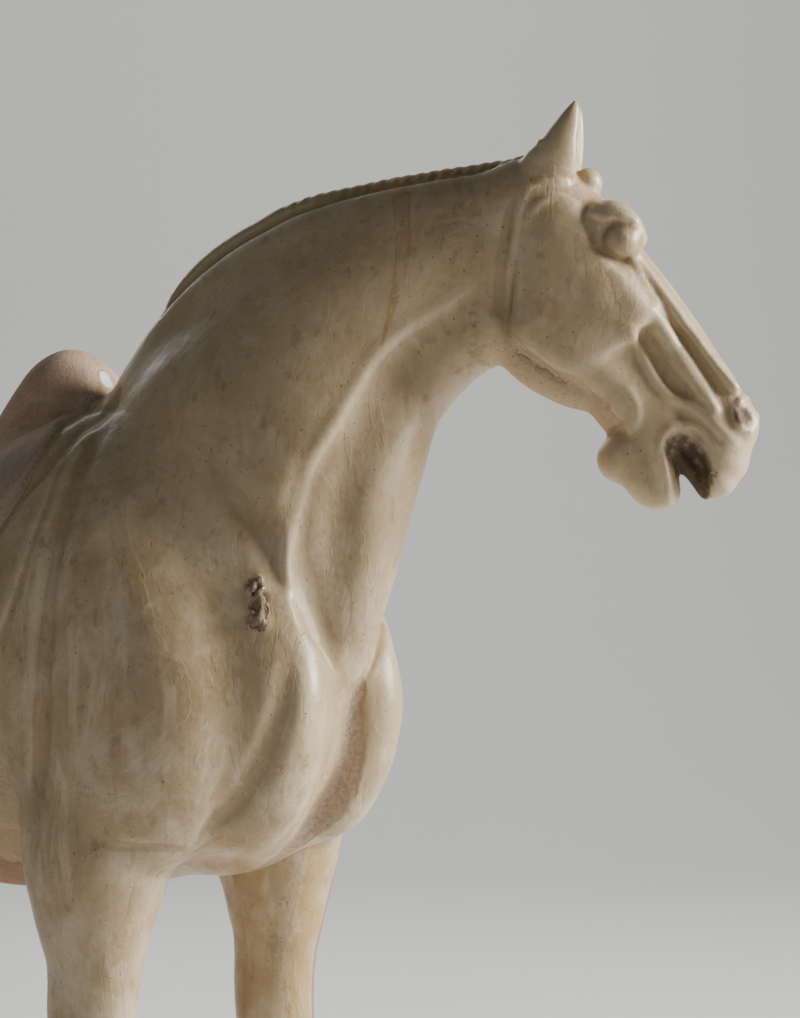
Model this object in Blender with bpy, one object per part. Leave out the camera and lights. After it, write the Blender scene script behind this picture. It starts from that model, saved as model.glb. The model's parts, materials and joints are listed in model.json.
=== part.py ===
"""A saddled pottery horse with its head turned to its left, on a low slab: one fired piece.

The figure is worked like clay. Each mass, muscle, fold and cut is a rounded form that is
pressed into one block of signed distances, and the block's skin becomes the mesh.
The horse faces +X, its left is +Y, and the origin is the middle of the slab's underside.
"""

import math

import bmesh
import bpy
import numpy as np

# Driving dimensions, metres
HORSE_HEIGHT = 0.690      # soles to ear tips
SLAB_THICKNESS = 0.014
SLAB_OVERHANG = 0.020     # slab beyond the hooves, all round
SLAB_EDGE = 0.003         # rounding of the slab's edges
HOOF_SINK = 0.003         # how deep the hooves run into the slab

# Fineness of the solid
SCULPT_CELL = 2.2         # grid of the clay, figure units
FACETS = 9200             # triangles of the finished horse

GLAZE_COLOUR = (0.62, 0.53, 0.38, 1)
GLAZE_ROUGHNESS = 0.25

# The figure's own units: every number of the horse below is a share of its height
UNITS_TALL = 690.0
UNIT = HORSE_HEIGHT / UNITS_TALL

FAR = 60.0                # distance that stands for "nothing near"
RIGHT, LEFT = -1.0, 1.0


class Clay:
    """Signed distances on a grid, negative inside, in figure units with z = 0 at the soles."""

    def __init__(self, low, counts, cell):
        self.cell = cell
        self.low = np.array(low, float)
        self.axes = [(self.low[i] + cell * np.arange(counts[i])).astype(np.float32) for i in range(3)]
        self.field = np.full(counts, FAR, np.float32)

    def piece(self, window):
        """A copy of the block's clay inside a window, to be worked on its own."""
        low = [axis[part.start] for axis, part in zip(self.axes, window)]
        copy = Clay(low, self.field[window].shape, self.cell)
        copy.field = self.field[window].copy()
        return copy

    def window(self, low, high):
        """The slices of the grid between two corners."""
        slices = []
        for axis in range(3):
            first = int((low[axis] - self.low[axis]) / self.cell)
            last = int((high[axis] - self.low[axis]) / self.cell) + 2
            slices.append(slice(max(first, 0), max(min(last, self.field.shape[axis]), 1)))
        return tuple(slices)

    def places(self, window):
        x, y, z = (axis[part] for axis, part in zip(self.axes, window))
        return x[:, None, None], y[None, :, None], z[None, None, :]

    def join(self, window, form, blend):
        self.field[window] = soft_min(self.field[window], form, blend)

    def cut(self, window, form, blend):
        self.field[window] = -soft_min(-self.field[window], form, blend)

    def sample(self, points):
        """The field at some points, read between the grid's places."""
        at = (points - self.low) / self.cell
        base = np.clip(np.floor(at).astype(int), 0, np.array(self.field.shape) - 2)
        part = at - base
        total = np.zeros(len(points))
        for corner in np.ndindex(2, 2, 2):
            weight = np.prod(np.where(corner, part, 1 - part), axis=1)
            i, j, k = (base + corner).T
            total += weight * self.field[i, j, k]
        return total

    def slope(self, points):
        """The field's steepest direction at some points, not scaled."""
        step = self.cell * np.eye(3)
        return np.stack([self.sample(points + s) - self.sample(points - s) for s in step], axis=1)

    def settle(self, points):
        """Moves points onto the nearest surface."""
        points = np.array(points, float)
        for _ in range(6):
            slope = self.slope(points)
            slope /= np.maximum(np.linalg.norm(slope, axis=1, keepdims=True), 1e-6)
            points -= self.sample(points)[:, None] * slope
        return points

    def drop_on(self, points, outward):
        """Moves points onto the surface along one direction, starting from well outside it."""
        points = points + 24 * outward
        for _ in range(40):
            points = points - np.maximum(0.8 * self.sample(points), 0)[:, None] * outward
        return points


def soft_min(a, b, blend):
    """The smaller of two fields, with a fillet of about the size of blend between them."""
    if blend <= 0:
        return np.minimum(a, b)
    gap = np.maximum(blend - np.abs(a - b), 0) / blend
    return np.minimum(a, b) - gap * gap * (blend / 4)


def smooth_path(stations, steps):
    """A round curve through the stations, with this many steps between each pair."""
    stations = np.array(stations, float)
    padded = np.vstack([2 * stations[0] - stations[1], stations, 2 * stations[-1] - stations[-2]])
    rows = []
    for p0, p1, p2, p3 in zip(padded, padded[1:], padded[2:], padded[3:]):
        for t in np.arange(steps) / steps:
            rows.append(0.5 * (2 * p1 + (p2 - p0) * t + (2 * p0 - 5 * p1 + 4 * p2 - p3) * t ** 2
                               + (3 * p1 - p0 - 3 * p2 + p3) * t ** 3))
    rows.append(stations[-1])
    return np.array(rows)


class Frame:
    """A place and three directions in which a group of forms is given."""

    def __init__(self, origin, axes):
        self.origin = np.array(origin, float)
        self.axes = np.array(axes, float)

    def point(self, local):
        return self.origin + np.array(local, float) @ self.axes

    def points(self, rows):
        """Rows that begin with a local place, with that place in the figure's frame."""
        rows = np.array(rows, float)
        return np.hstack([self.origin + rows[:, :3] @ self.axes, rows[:, 3:]])


FIGURE = Frame((0, 0, 0), np.eye(3))


def ball(clay, centre, radii, blend, frame=FIGURE, tilt=0.0, cut=False):
    """Adds or cuts an ellipsoid; tilt turns it about the frame's second axis, in degrees."""
    turn = math.radians(tilt)
    first, second, third = frame.axes
    axes = (math.cos(turn) * first - math.sin(turn) * third, second,
            math.sin(turn) * first + math.cos(turn) * third)
    place = frame.point(centre)
    reach = max(radii) + blend + 2 * clay.cell + 4
    window = clay.window(place - reach, place + reach)
    x, y, z = clay.places(window)
    x, y, z = x - place[0], y - place[1], z - place[2]
    near, far = 1e-6, 1e-9
    for axis, radius in zip(axes, radii):
        along = x * axis[0] + y * axis[1] + z * axis[2]
        near = near + (along / radius) ** 2
        far = far + (along / radius ** 2) ** 2
    near = np.sqrt(near)
    form = (near * (near - 1) / np.sqrt(far)).astype(np.float32)
    (clay.cut if cut else clay.join)(window, form, blend)


def limb(clay, stations, blend, frame=FIGURE, side=(0, 1, 0), steps=4, cut=False):
    """Adds or cuts a limb: stations of place, radius in the plane and radius to the side.

    A station may end with the way that its plane faces, in degrees to the left of +X.
    """
    rows = frame.points(smooth_path(stations, steps))
    sides = side_directions(rows, side, frame)
    places, plane, lateral = rows[:, :3], np.maximum(rows[:, 3], 0.3), np.maximum(rows[:, 4], 0.3)
    reach = np.maximum(plane, lateral) + blend + 2 * clay.cell + 4
    whole = clay.window((places - reach[:, None]).min(axis=0), (places + reach[:, None]).max(axis=0))
    form = np.full([s.stop - s.start for s in whole], FAR, np.float32)
    for i in range(len(rows) - 1):
        pair = places[i:i + 2]
        wide = reach[i:i + 2].max()
        part = clay.window(pair.min(axis=0) - wide, pair.max(axis=0) + wide)
        part = tuple(slice(max(p.start, w.start), min(p.stop, w.stop)) for p, w in zip(part, whole))
        rod = elliptic_rod(clay.places(part), pair, plane[i:i + 2], lateral[i:i + 2], sides[i:i + 2])
        inner = tuple(slice(p.start - w.start, p.stop - w.start) for p, w in zip(part, whole))
        np.minimum(form[inner], rod, out=form[inner])
    (clay.cut if cut else clay.join)(whole, form, blend)


def side_directions(rows, side, frame):
    if rows.shape[1] == 5:
        return [np.array(side, float) @ frame.axes] * len(rows)
    headings = np.radians(rows[:, 5])
    return [np.array((-math.sin(h), math.cos(h), 0)) for h in headings]


def elliptic_rod(grid, ends, plane, lateral, sides):
    """Distance to a straight stretch of limb whose radii run from one end's to the other's."""
    run = ends[1] - ends[0]
    x, y, z = (g - np.float32(e) for g, e in zip(grid, ends[0]))
    t = np.clip((x * run[0] + y * run[1] + z * run[2]) / max(run @ run, 1e-9), 0, 1).astype(np.float32)
    x, y, z = x - t * run[0], y - t * run[1], z - t * run[2]
    turn = sides[1] - sides[0]
    across = sum(g * (s + t * d) for g, s, d in zip((x, y, z), sides[0], turn))
    square = across * across
    rest = np.maximum(x * x + y * y + z * z - square, 0)
    a = plane[0] + t * (plane[1] - plane[0])
    b = lateral[0] + t * (lateral[1] - lateral[0])
    near = np.sqrt(square / b ** 2 + rest / a ** 2 + 1e-6)
    far = np.sqrt(square / b ** 4 + rest / a ** 4 + 1e-9)
    return (near * (near - 1) / far).astype(np.float32)


def line(clay, stations, width, height, frame=FIGURE, steps=4, side=0):
    """Raises a rounded ridge along a line on the surface, or presses a groove where height < 0.

    A station is a place, and may end with its own share of the height. The line lies on the
    nearest surface or, where side is RIGHT or LEFT, on the surface seen from that side.
    """
    stations = np.array(stations, float)
    if stations.shape[1] == 3:
        stations = np.hstack([stations, np.ones((len(stations), 1))])
    rows = frame.points(smooth_path(stations, steps))
    if side:
        places = clay.drop_on(rows[:, :3], side * frame.axes[1])
    else:
        places = clay.settle(rows[:, :3])
        for _ in range(2):
            places[1:-1] = (places[:-2] + 2 * places[1:-1] + places[2:]) / 4
    shares = rows[:, 3]
    reach = 2.6 * width
    whole = clay.window(places.min(axis=0) - reach, places.max(axis=0) + reach)
    lift = np.zeros([s.stop - s.start for s in whole], np.float32)
    for i in range(len(rows) - 1):
        pair = places[i:i + 2]
        part = clay.window(pair.min(axis=0) - reach, pair.max(axis=0) + reach)
        part = tuple(slice(max(p.start, w.start), min(p.stop, w.stop)) for p, w in zip(part, whole))
        run = pair[1] - pair[0]
        x, y, z = (g - np.float32(e) for g, e in zip(clay.places(part), pair[0]))
        t = np.clip((x * run[0] + y * run[1] + z * run[2]) / max(run @ run, 1e-9), 0, 1)
        square = (x - t * run[0]) ** 2 + (y - t * run[1]) ** 2 + (z - t * run[2]) ** 2
        rise = (shares[i] + t * (shares[i + 1] - shares[i])) * np.exp(-square / width ** 2)
        inner = tuple(slice(p.start - w.start, p.stop - w.start) for p, w in zip(part, whole))
        np.maximum(lift[inner], rise, out=lift[inner])
    clay.field[whole] -= height * lift


def mirrored(rows, side):
    """Rows given for the left, for one side: the second number changes sign on the right."""
    rows = np.array(rows, float)
    rows[..., 1] *= side
    return rows


# Places on the figure that several forms share
NECK_CORE = ((196, 0, 455, 100, 60, 0), (214, 3, 483, 92, 55, 6), (230, 9, 507, 81, 49, 14),
             (242, 17, 537, 68, 43, 20), (256, 25, 558, 59, 39, 23), (277, 37, 580, 49, 35, 25),
             (303, 51, 597, 41, 31, 27), (334, 67, 608, 36, 27, 29), (352, 76, 612, 34, 25, 30))
NECK_CREST = ((112, 0, 498, 11), (126, 0, 518, 12), (140, 0, 538, 14), (156, 2, 563, 14),
              (174, 4, 581, 14), (193, 9, 596, 14), (213, 15, 608, 14), (240, 26, 621, 14),
              (268, 39, 629, 14), (302, 54, 634, 14), (345, 73, 640, 14))
THROAT = ((262, 3, 372, 8), (270, 5, 388, 14), (274, 7, 406, 20), (277, 10, 430, 23.5),
          (280, 15, 452, 23), (281, 20, 472, 23), (283, 27, 495, 23), (289, 38, 526, 23),
          (301, 48, 548, 23), (315, 54, 562, 23), (330, 62, 572, 23))
MANE = ((148, 1, 560, 3), (156, 2, 575, 6), (166, 4, 590, 8), (184, 9, 607, 8.5), (206, 15, 620, 8.5),
        (234, 26, 634, 8.5), (265, 39, 641, 8.5), (300, 54, 647, 8.5), (330, 67, 651, 8.5),
        (350, 76, 653, 8.5))
MANE_NOTCHES = 19
HEAD_TURN = math.radians(31)      # of the head to the horse's left
HEAD_DROP = math.radians(53)      # of the nose line below level
POLL = (366, 80, 652)
LEG_SHARES = {RIGHT: 1.04, LEFT: 0.97}
FOOT_FORWARD = {RIGHT: 167, LEFT: 176}
FOREFEET_APART = 140
HINDFEET_APART = 124
HIND_FOOT = -192
HOOF_RADII = (27, 26)
HOOF_AHEAD = 12                   # of a fore hoof's middle before its leg's


def head_frame():
    """u runs down the nose line, w to the horse's left and v out of the forehead."""
    forward = np.array((math.cos(HEAD_TURN), math.sin(HEAD_TURN), 0))
    up = np.array((0, 0, 1))
    u = math.cos(HEAD_DROP) * forward - math.sin(HEAD_DROP) * up
    v = math.sin(HEAD_DROP) * forward + math.cos(HEAD_DROP) * up
    w = np.array((-math.sin(HEAD_TURN), math.cos(HEAD_TURN), 0))
    return Frame(POLL, (u, w, v))


def across_neck(rows, side):
    """Rows on the neck's right side; for the left, mirrored in the neck's own bent middle."""
    rows = np.array(rows, float)
    if side == RIGHT:
        return rows
    core = smooth_path(NECK_CORE, 6)
    sides = np.array(side_directions(core, None, FIGURE))
    for row in rows:
        near = np.argmin((core[:, 0] - row[0]) ** 2 + (core[:, 2] - row[2]) ** 2)
        row[:3] -= 2 * ((row[:3] - core[near, :3]) @ sides[near]) * sides[near]
    return rows


def model_trunk(clay):
    limb(clay, ((-190, 0, 402, 94, 86), (-135, 0, 396, 108, 97), (-70, 0, 388, 120, 102),
                (10, 0, 384, 128, 104), (80, 0, 386, 130, 102), (135, 0, 387, 123, 94),
                (172, 0, 382, 108, 86)), 0)
    ball(clay, (-178, 0, 438), (104, 66, 74), 30)
    for side in (RIGHT, LEFT):
        ball(clay, (-196, 46 * side, 398), (86, 54, 108), 24, tilt=-8)
        limb(clay, mirrored(((120, 32, 472, 38, 24), (138, 45, 450, 60, 40), (158, 56, 402, 76, 48),
                             (178, 62, 352, 66, 42), (186, 66, 322, 44, 36)), side), 22)
        ball(clay, (198, 62 * side, 356), (54, 34, 70), 22)
        ball(clay, (235, 32 * side, 369), (57, 33, 63), 12)
        ball(clay, (230, 30 * side, 343), (53, 33, 55), 8)
    # Keel of the breast
    ball(clay, (203, 0, 338), (58, 52, 66), 12)


def model_neck(clay):
    limb(clay, NECK_CORE, 26, steps=8)
    limb(clay, [(x, y, z, r, 0.93 * r) for x, y, z, r in NECK_CREST], 28)
    limb(clay, [(x, y, z, r, 0.96 * r) for x, y, z, r in THROAT], 10)


def model_foreleg(clay, side):
    foot, stout, apart = FOOT_FORWARD[side], LEG_SHARES[side], FOREFEET_APART / 2
    limb(clay, [(foot + dx, side * (apart + dy), z, stout * a, stout * b) for dx, dy, z, a, b in (
        (-4, -8, 330, 43, 36), (0, -2, 291, 42, 36), (0, 0, 268, 36, 31.5), (0, 0, 250, 31.5, 27.5),
        (0, 0, 234, 27.4, 24), (-1, 0, 218, 25.4, 22.2), (-2, 0, 200, 24.8, 21.7),
        (-1, 0, 180, 24.2, 21.7), (1, 0, 158, 24, 22), (0, 0, 138, 18, 17), (0, 0, 100, 14.5, 13),
        (1, 0, 64, 15, 13.5), (3, 0, 48, 18.5, 17), (8, 0, 32, 16, 15))], 5, steps=8)
    model_hoof(clay, (foot + HOOF_AHEAD, side * apart))


def model_hindleg(clay, side):
    apart = HINDFEET_APART / 2
    limb(clay, [(HIND_FOOT + dx, side * (apart + dy), z, a, b) for dx, dy, z, a, b in (
        (0, -4, 366, 70, 40), (22, 2, 312, 52, 36), (12, 4, 262, 36, 28),
        (-12, 3, 218, 25, 20), (-29, 1, 186, 22, 17), (-24, 0, 150, 17, 14.5),
        (-18, 0, 104, 14.5, 13), (-13, 0, 64, 15, 13.5), (-10, 0, 48, 18.5, 17),
        (-4, 0, 32, 16, 15))], 16, steps=8)
    # Point of the hock
    ball(clay, (HIND_FOOT - 43, side * (apart + 1), 196), (13, 11, 17), 12)
    model_hoof(clay, (HIND_FOOT, side * apart))


def model_hoof(clay, place):
    x, y = place
    a, b = HOOF_RADII
    limb(clay, ((x - 3, y, 22, 0.8 * a, 0.8 * b), (x, y, 3, 0.97 * a, 0.97 * b), (x, y, -8, a, b)),
         3, steps=2)


def model_tail(clay):
    """A short tail, bound up and hanging close behind the rump."""
    limb(clay, ((-262, 0, 466, 17, 16), (-284, 0, 457, 17, 16), (-300, 0, 434, 15, 16),
                (-305, 0, 404, 14, 15), (-300, 0, 374, 13, 14), (-290, 0, 350, 9, 9)), 6)
    for z in (432, 418, 404):
        line(clay, ((-298, -18, z + 4), (-324, 0, z), (-298, 18, z + 4)), 2.6, -2.4)


def carve_body(clay):
    """The grooves that part breast, upper arms, neck and windpipe."""
    line(clay, ((284, 8, 372, 0.5), (282, 9, 358, 1), (279, 10, 345, 1), (273, 10, 329, 1),
                (261, 8, 308, 0.9), (244, 5, 289, 0.6), (206, 0, 268, 0.2)), 5.5, -6.5)
    # A scar from the kiln, at the foot of the neck
    line(clay, ((263, -50, 431, 0.5), (264, -49, 422, 1), (266, -48, 412, 0.8)), 3.6, 2)
    for side in (RIGHT, LEFT):
        # The hollow beside the windpipe, steep on the side of the muscle that edges it
        line(clay, across_neck(((327, 17, 564, 0.1), (318, 2, 542, 0.4), (314, -13, 518, 0.7),
                                (305, -24, 487, 1), (298, -24, 456, 1), (291, -22, 432, 0.6),
                                (288, -18, 414, 0.1)), side), 12.5, -12)
        line(clay, across_neck(((306, -24, 505, 0.2), (299, -27, 484, 0.8), (295, -28, 460, 1),
                                (290, -26, 435, 1.1), (286, -20, 411, 1.1), (284, -15, 397, 0.4)), side),
             7.5, -7)
        line(clay, across_neck(((342, 32, 590, 0.2), (327, 17, 574, 0.4), (313, 0, 558, 0.6),
                                (307, -15, 537, 0.8), (302, -25, 518, 1), (296, -34, 499, 1),
                                (291, -37, 477, 1), (287, -36, 451, 1), (285, -32.5, 430, 0.8),
                                (284, -27, 413, 0.2)), side), 4.2, 4)
        # Crease between the shoulder and the neck
        line(clay, mirrored(((218, 48, 516, 0.1), (234, 49, 495, 0.4), (250, 47, 474, 0.8),
                             (262, 42, 459, 1), (270, 38, 444, 0.7), (276, 35, 430, 0.3)), side), 8, -4.5)
        # Crease between the breast's lobe and the upper arm
        line(clay, mirrored(((283, 46, 394, 0.1), (282, 47, 385, 0.5), (281, 49, 371, 0.8),
                             (276, 50, 356, 1), (267, 50, 338, 1.1), (257, 53, 321, 1),
                             (246, 57, 309, 0.6), (236, 64, 301, 0.2)), side), 6, -5.5)
        # Where the upper arm overhangs the leg
        line(clay, mirrored(((192, 100, 299, 0.1), (204, 92, 296, 0.6), (214, 85, 296, 1),
                             (222, 78, 295, 1), (228, 68, 293, 0.4)), side), 3.5, -2.4)
    # Where each lobe of the breast meets the windpipe
    line(clay, ((270, -40, 438, 0.1), (276, -35, 426, 0.7), (281, -29, 414, 1), (283, -22, 404, 0.7),
                (284, -16, 395, 0.3), (285, -10, 386, 0.1)), 4, -4.5)
    line(clay, ((268, 48, 440, 0.2), (274, 45, 428, 0.6), (279, 39, 415, 1), (283, 28, 400, 1),
                (285, 20, 391, 1), (285, 12, 379, 0.7), (283, 8, 371, 0.3)), 2.4, -2.8)


def outline_distance(a, b, corners, rounding):
    """Signed distance in a plane to a closed outline given by its rounded corners' centres."""
    corners = np.array(corners, float)
    shape = np.broadcast(a, b).shape
    square, inside = np.full(shape, 1e12), np.zeros(shape, bool)
    for p, q in zip(corners, np.roll(corners, -1, axis=0)):
        run = q - p
        t = np.clip(((a - p[0]) * run[0] + (b - p[1]) * run[1]) / (run @ run), 0, 1)
        square = np.minimum(square, (a - p[0] - t * run[0]) ** 2 + (b - p[1] - t * run[1]) ** 2)
        if run[1]:
            crossing = ((p[1] > b) != (q[1] > b)) & (a < p[0] + run[0] * (b - p[1]) / run[1])
            inside ^= crossing
    return np.where(inside, -1, 1) * np.sqrt(square) - rounding


def plate(clay, corners, rounding, half, dome, edge, blend, frame):
    """A plate with a rounded outline in the frame's first and third axes, domed on both faces."""
    corners = np.array(corners, float)
    middle = corners.mean(axis=0)
    reach = np.abs(corners - middle).max() + rounding + half + blend + 2 * clay.cell + 4
    place = frame.point((middle[0], 0, middle[1]))
    window = clay.window(place - reach, place + reach)
    x, y, z = (g - o for g, o in zip(clay.places(window), frame.origin))
    u, w, v = (x * axis[0] + y * axis[1] + z * axis[2] for axis in frame.axes)
    flat = outline_distance(u, v, corners, rounding)
    crown = dome * (1 - (1 - np.clip(-flat / (1.5 * rounding), 0, 1)) ** 2)
    form = -soft_min(-flat, -(np.abs(w) - half - crown), edge)
    clay.join(window, form.astype(np.float32), blend)


# Edges of the cloths seen from the side, from the withers round by the lower edge to the loins
BLANKET = ((100, 600), (112, 552), (130, 534), (148, 514), (160, 488), (165, 440), (161, 390), (154, 342),
           (148, 310), (134, 291), (100, 285), (20, 281), (-60, 284), (-104, 300), (-120, 350),
           (-124, 440), (-116, 600))
PAD = ((100, 600), (108, 552), (124, 530), (140, 512), (147, 490), (148, 466), (142, 428), (126, 394),
       (96, 370), (50, 358), (0, 355), (-50, 361), (-92, 382), (-114, 420), (-118, 480), (-112, 600))
COVER = ((98, 600), (104, 552), (113, 534), (124, 520), (130, 504), (128, 484), (118, 462),
         (98, 434), (68, 406), (20, 391), (-20, 392), (-60, 412), (-84, 448), (-92, 500), (-90, 600))
# Folds pressed in along the cover's and the blanket's front edges, on the left
COVER_FOLD = ((136, 14, 541, 0.1), (138, 30, 536, 0.4), (140, 48, 526, 0.9), (140, 68, 512, 1),
              (135, 82, 493, 1), (124, 94, 472, 1), (106, 100, 446, 0.7), (84, 104, 420, 0.3))
BLANKET_FOLD = ((150, 44, 521, 0.1), (156, 62, 509, 0.5), (160, 80, 486, 1), (163, 95, 460, 1),
                (165, 104, 430, 1), (165, 107, 392, 0.9), (162, 104, 352, 0.8), (156, 100, 324, 0.5))


def model_saddle(clay):
    """Blanket, pad and covered saddle: skins of growing thickness over the horse's back."""
    window = clay.window((-150, -130, 300), (185, 130, 585))
    skin = clay.piece(window)
    x, y, z = skin.places(tuple(slice(0, n) for n in skin.field.shape))
    flats = [outline_distance(x, z, smooth_path(edge_line, 3), 0)
             for edge_line in (BLANKET, PAD, COVER)]
    saddle = clay.piece(window)
    rise = np.clip((z - 405) / 90, 0, 1)
    saddle.field -= (2.5 + 5.5 * rise * rise * (3 - 2 * rise)).astype(np.float32)
    ball(saddle, (82, 0, 513), (31, 42, 50), 10)
    ball(saddle, (70, 0, 488), (38, 50, 50), 14)
    ball(saddle, (-64, 0, 503), (27, 58, 48), 18)
    limb(saddle, ((60, 0, 486, 18, 46), (5, 0, 484, 18, 46), (-60, 0, 492, 22, 46)), 10)
    flare = 3 * np.clip((360 - z) / 60, 0, 1) ** 2
    thinned = np.clip((570 - z) / 60, 0, 1)
    for flat, form, edge in ((flats[0], skin.field - 2.6 * thinned - flare, 5),
                             (flats[1], skin.field - 4.2 * thinned, 2.5), (flats[2], saddle.field, 3)):
        clay.join(window, -soft_min(-flat, -form, edge).astype(np.float32), 1.5)
    for side in (RIGHT, LEFT):
        line(clay, mirrored(COVER_FOLD, side), 5, -4.5)
        line(clay, mirrored(BLANKET_FOLD, side), 5.5, -4)


def model_head(clay):
    head = head_frame()
    # Skull and nose
    limb(clay, ((8, 0, -22, 29, 24), (35, 0, -16, 27, 24), (60, 0, -15, 25.5, 21), (90, 0, -15, 26, 16),
                (120, 0, -14, 23.5, 14.5), (148, 0, -13, 20.5, 14.5), (160, 0, -13, 18, 15)), 10, head)
    # Lower part of the face
    limb(clay, ((80, 0, -36, 20, 19), (105, 0, -36, 20, 18), (128, 0, -36, 18, 17),
                (146, 0, -36, 14, 16)), 6, head)
    # Cheeks: one rounded plate that stands out on both sides
    plate(clay, ((24, -18), (84, -21.5), (80, -49), (59, -57), (26, -30)), 14, 23.5, 4, 4, 3, head)
    for side in (RIGHT, LEFT):
        # The cheekbone, running on down the nose
        limb(clay, mirrored(((70, 15, -10, 9, 7), (82, 16, -11, 8.5, 7), (92, 14.5, -9, 6, 5),
                             (106, 12.5, -8, 3.5, 3.5)), side), 6, head)
        # Jaw and the edge of the nose, as bars on each side
        limb(clay, mirrored(((60, 17, -59, 13, 9), (78, 16, -54, 12.5, 9), (94, 14, -48, 12, 9),
                             (108, 12, -44, 11.5, 9), (120, 11, -44, 11, 8.5), (132, 9, -45, 11, 8),
                             (147, 8, -50, 9.5, 8), (160, 7, -55, 9, 8), (169, 6, -59, 8, 8)),
                            side), 5, head)
        limb(clay, mirrored(((60, 12.5, 4, 4, 4), (90, 11, 4, 3.5, 3.5), (120, 9.5, 4.5, 3.3, 3.3),
                             (149, 9, 4.5, 3, 3)), side), 3, head)
    # Flesh between the jaws
    limb(clay, ((44, 0, -76, 10, 14), (60, 0, -75, 12, 14), (78, 0, -71.5, 12, 13), (95, 0, -63, 12, 12),
                (108, 0, -55, 11, 11), (124, 0, -53, 11, 10)), 4, head)
    # Chin, lower lip and muzzle
    ball(clay, (142.5, 0, -65.5), (13, 14, 13.5), 5, head)
    limb(clay, ((143, 0, -58, 14, 15), (159, 0, -59.5, 14.5, 15), (168, 0, -60, 11, 14)), 4, head)
    ball(clay, (162, 0, -12), (17.5, 16, 18), 4, head)
    ball(clay, (172, 0, -23), (17, 15.5, 15.5), 5, head)
    ball(clay, (180, 0, -31), (11.5, 14, 10.5), 3, head)
    carve_mouth(clay, head)
    carve_face(clay, head)
    model_ears(clay, head)


def carve_mouth(clay, head):
    """Open lips round a sunken mouth, with teeth and tongue left standing in the middle."""
    limb(clay, ((150, 0, -36, 9, 9), (160, 0, -38, 8.5, 8), (171, 0, -38, 6.5, 7),
                (183, 0, -39, 5.5, 6)), 3, head)
    for side in (RIGHT, LEFT):
        limb(clay, mirrored(((157, 20, -37.5, 7.5, 7.5), (165, 20, -37, 8, 8), (173, 20, -39.5, 7, 8.5),
                             (184, 19, -46, 5, 8)), side), 2.5, head, cut=True)
        limb(clay, mirrored(((160, 17, -36, 5, 12), (166, 17, -35.5, 6, 13), (174, 17, -37, 5.5, 13),
                             (184, 17, -42.5, 4.2, 13), (192, 17, -47, 4, 13)), side), 2, head, cut=True)
        line(clay, mirrored(((177, 11, -59.5, 0.6), (169, 14, -54, 1), (160, 15, -49.5, 1),
                             (151, 15.5, -45.5, 1), (146.4, 16, -40, 1), (146, 16, -32, 1),
                             (151, 15, -25.2, 1), (158.6, 15, -22.5, 0.9), (168, 15, -22.8, 0.5)),
                            side), 1.5, 2, head, side=side)


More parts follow.
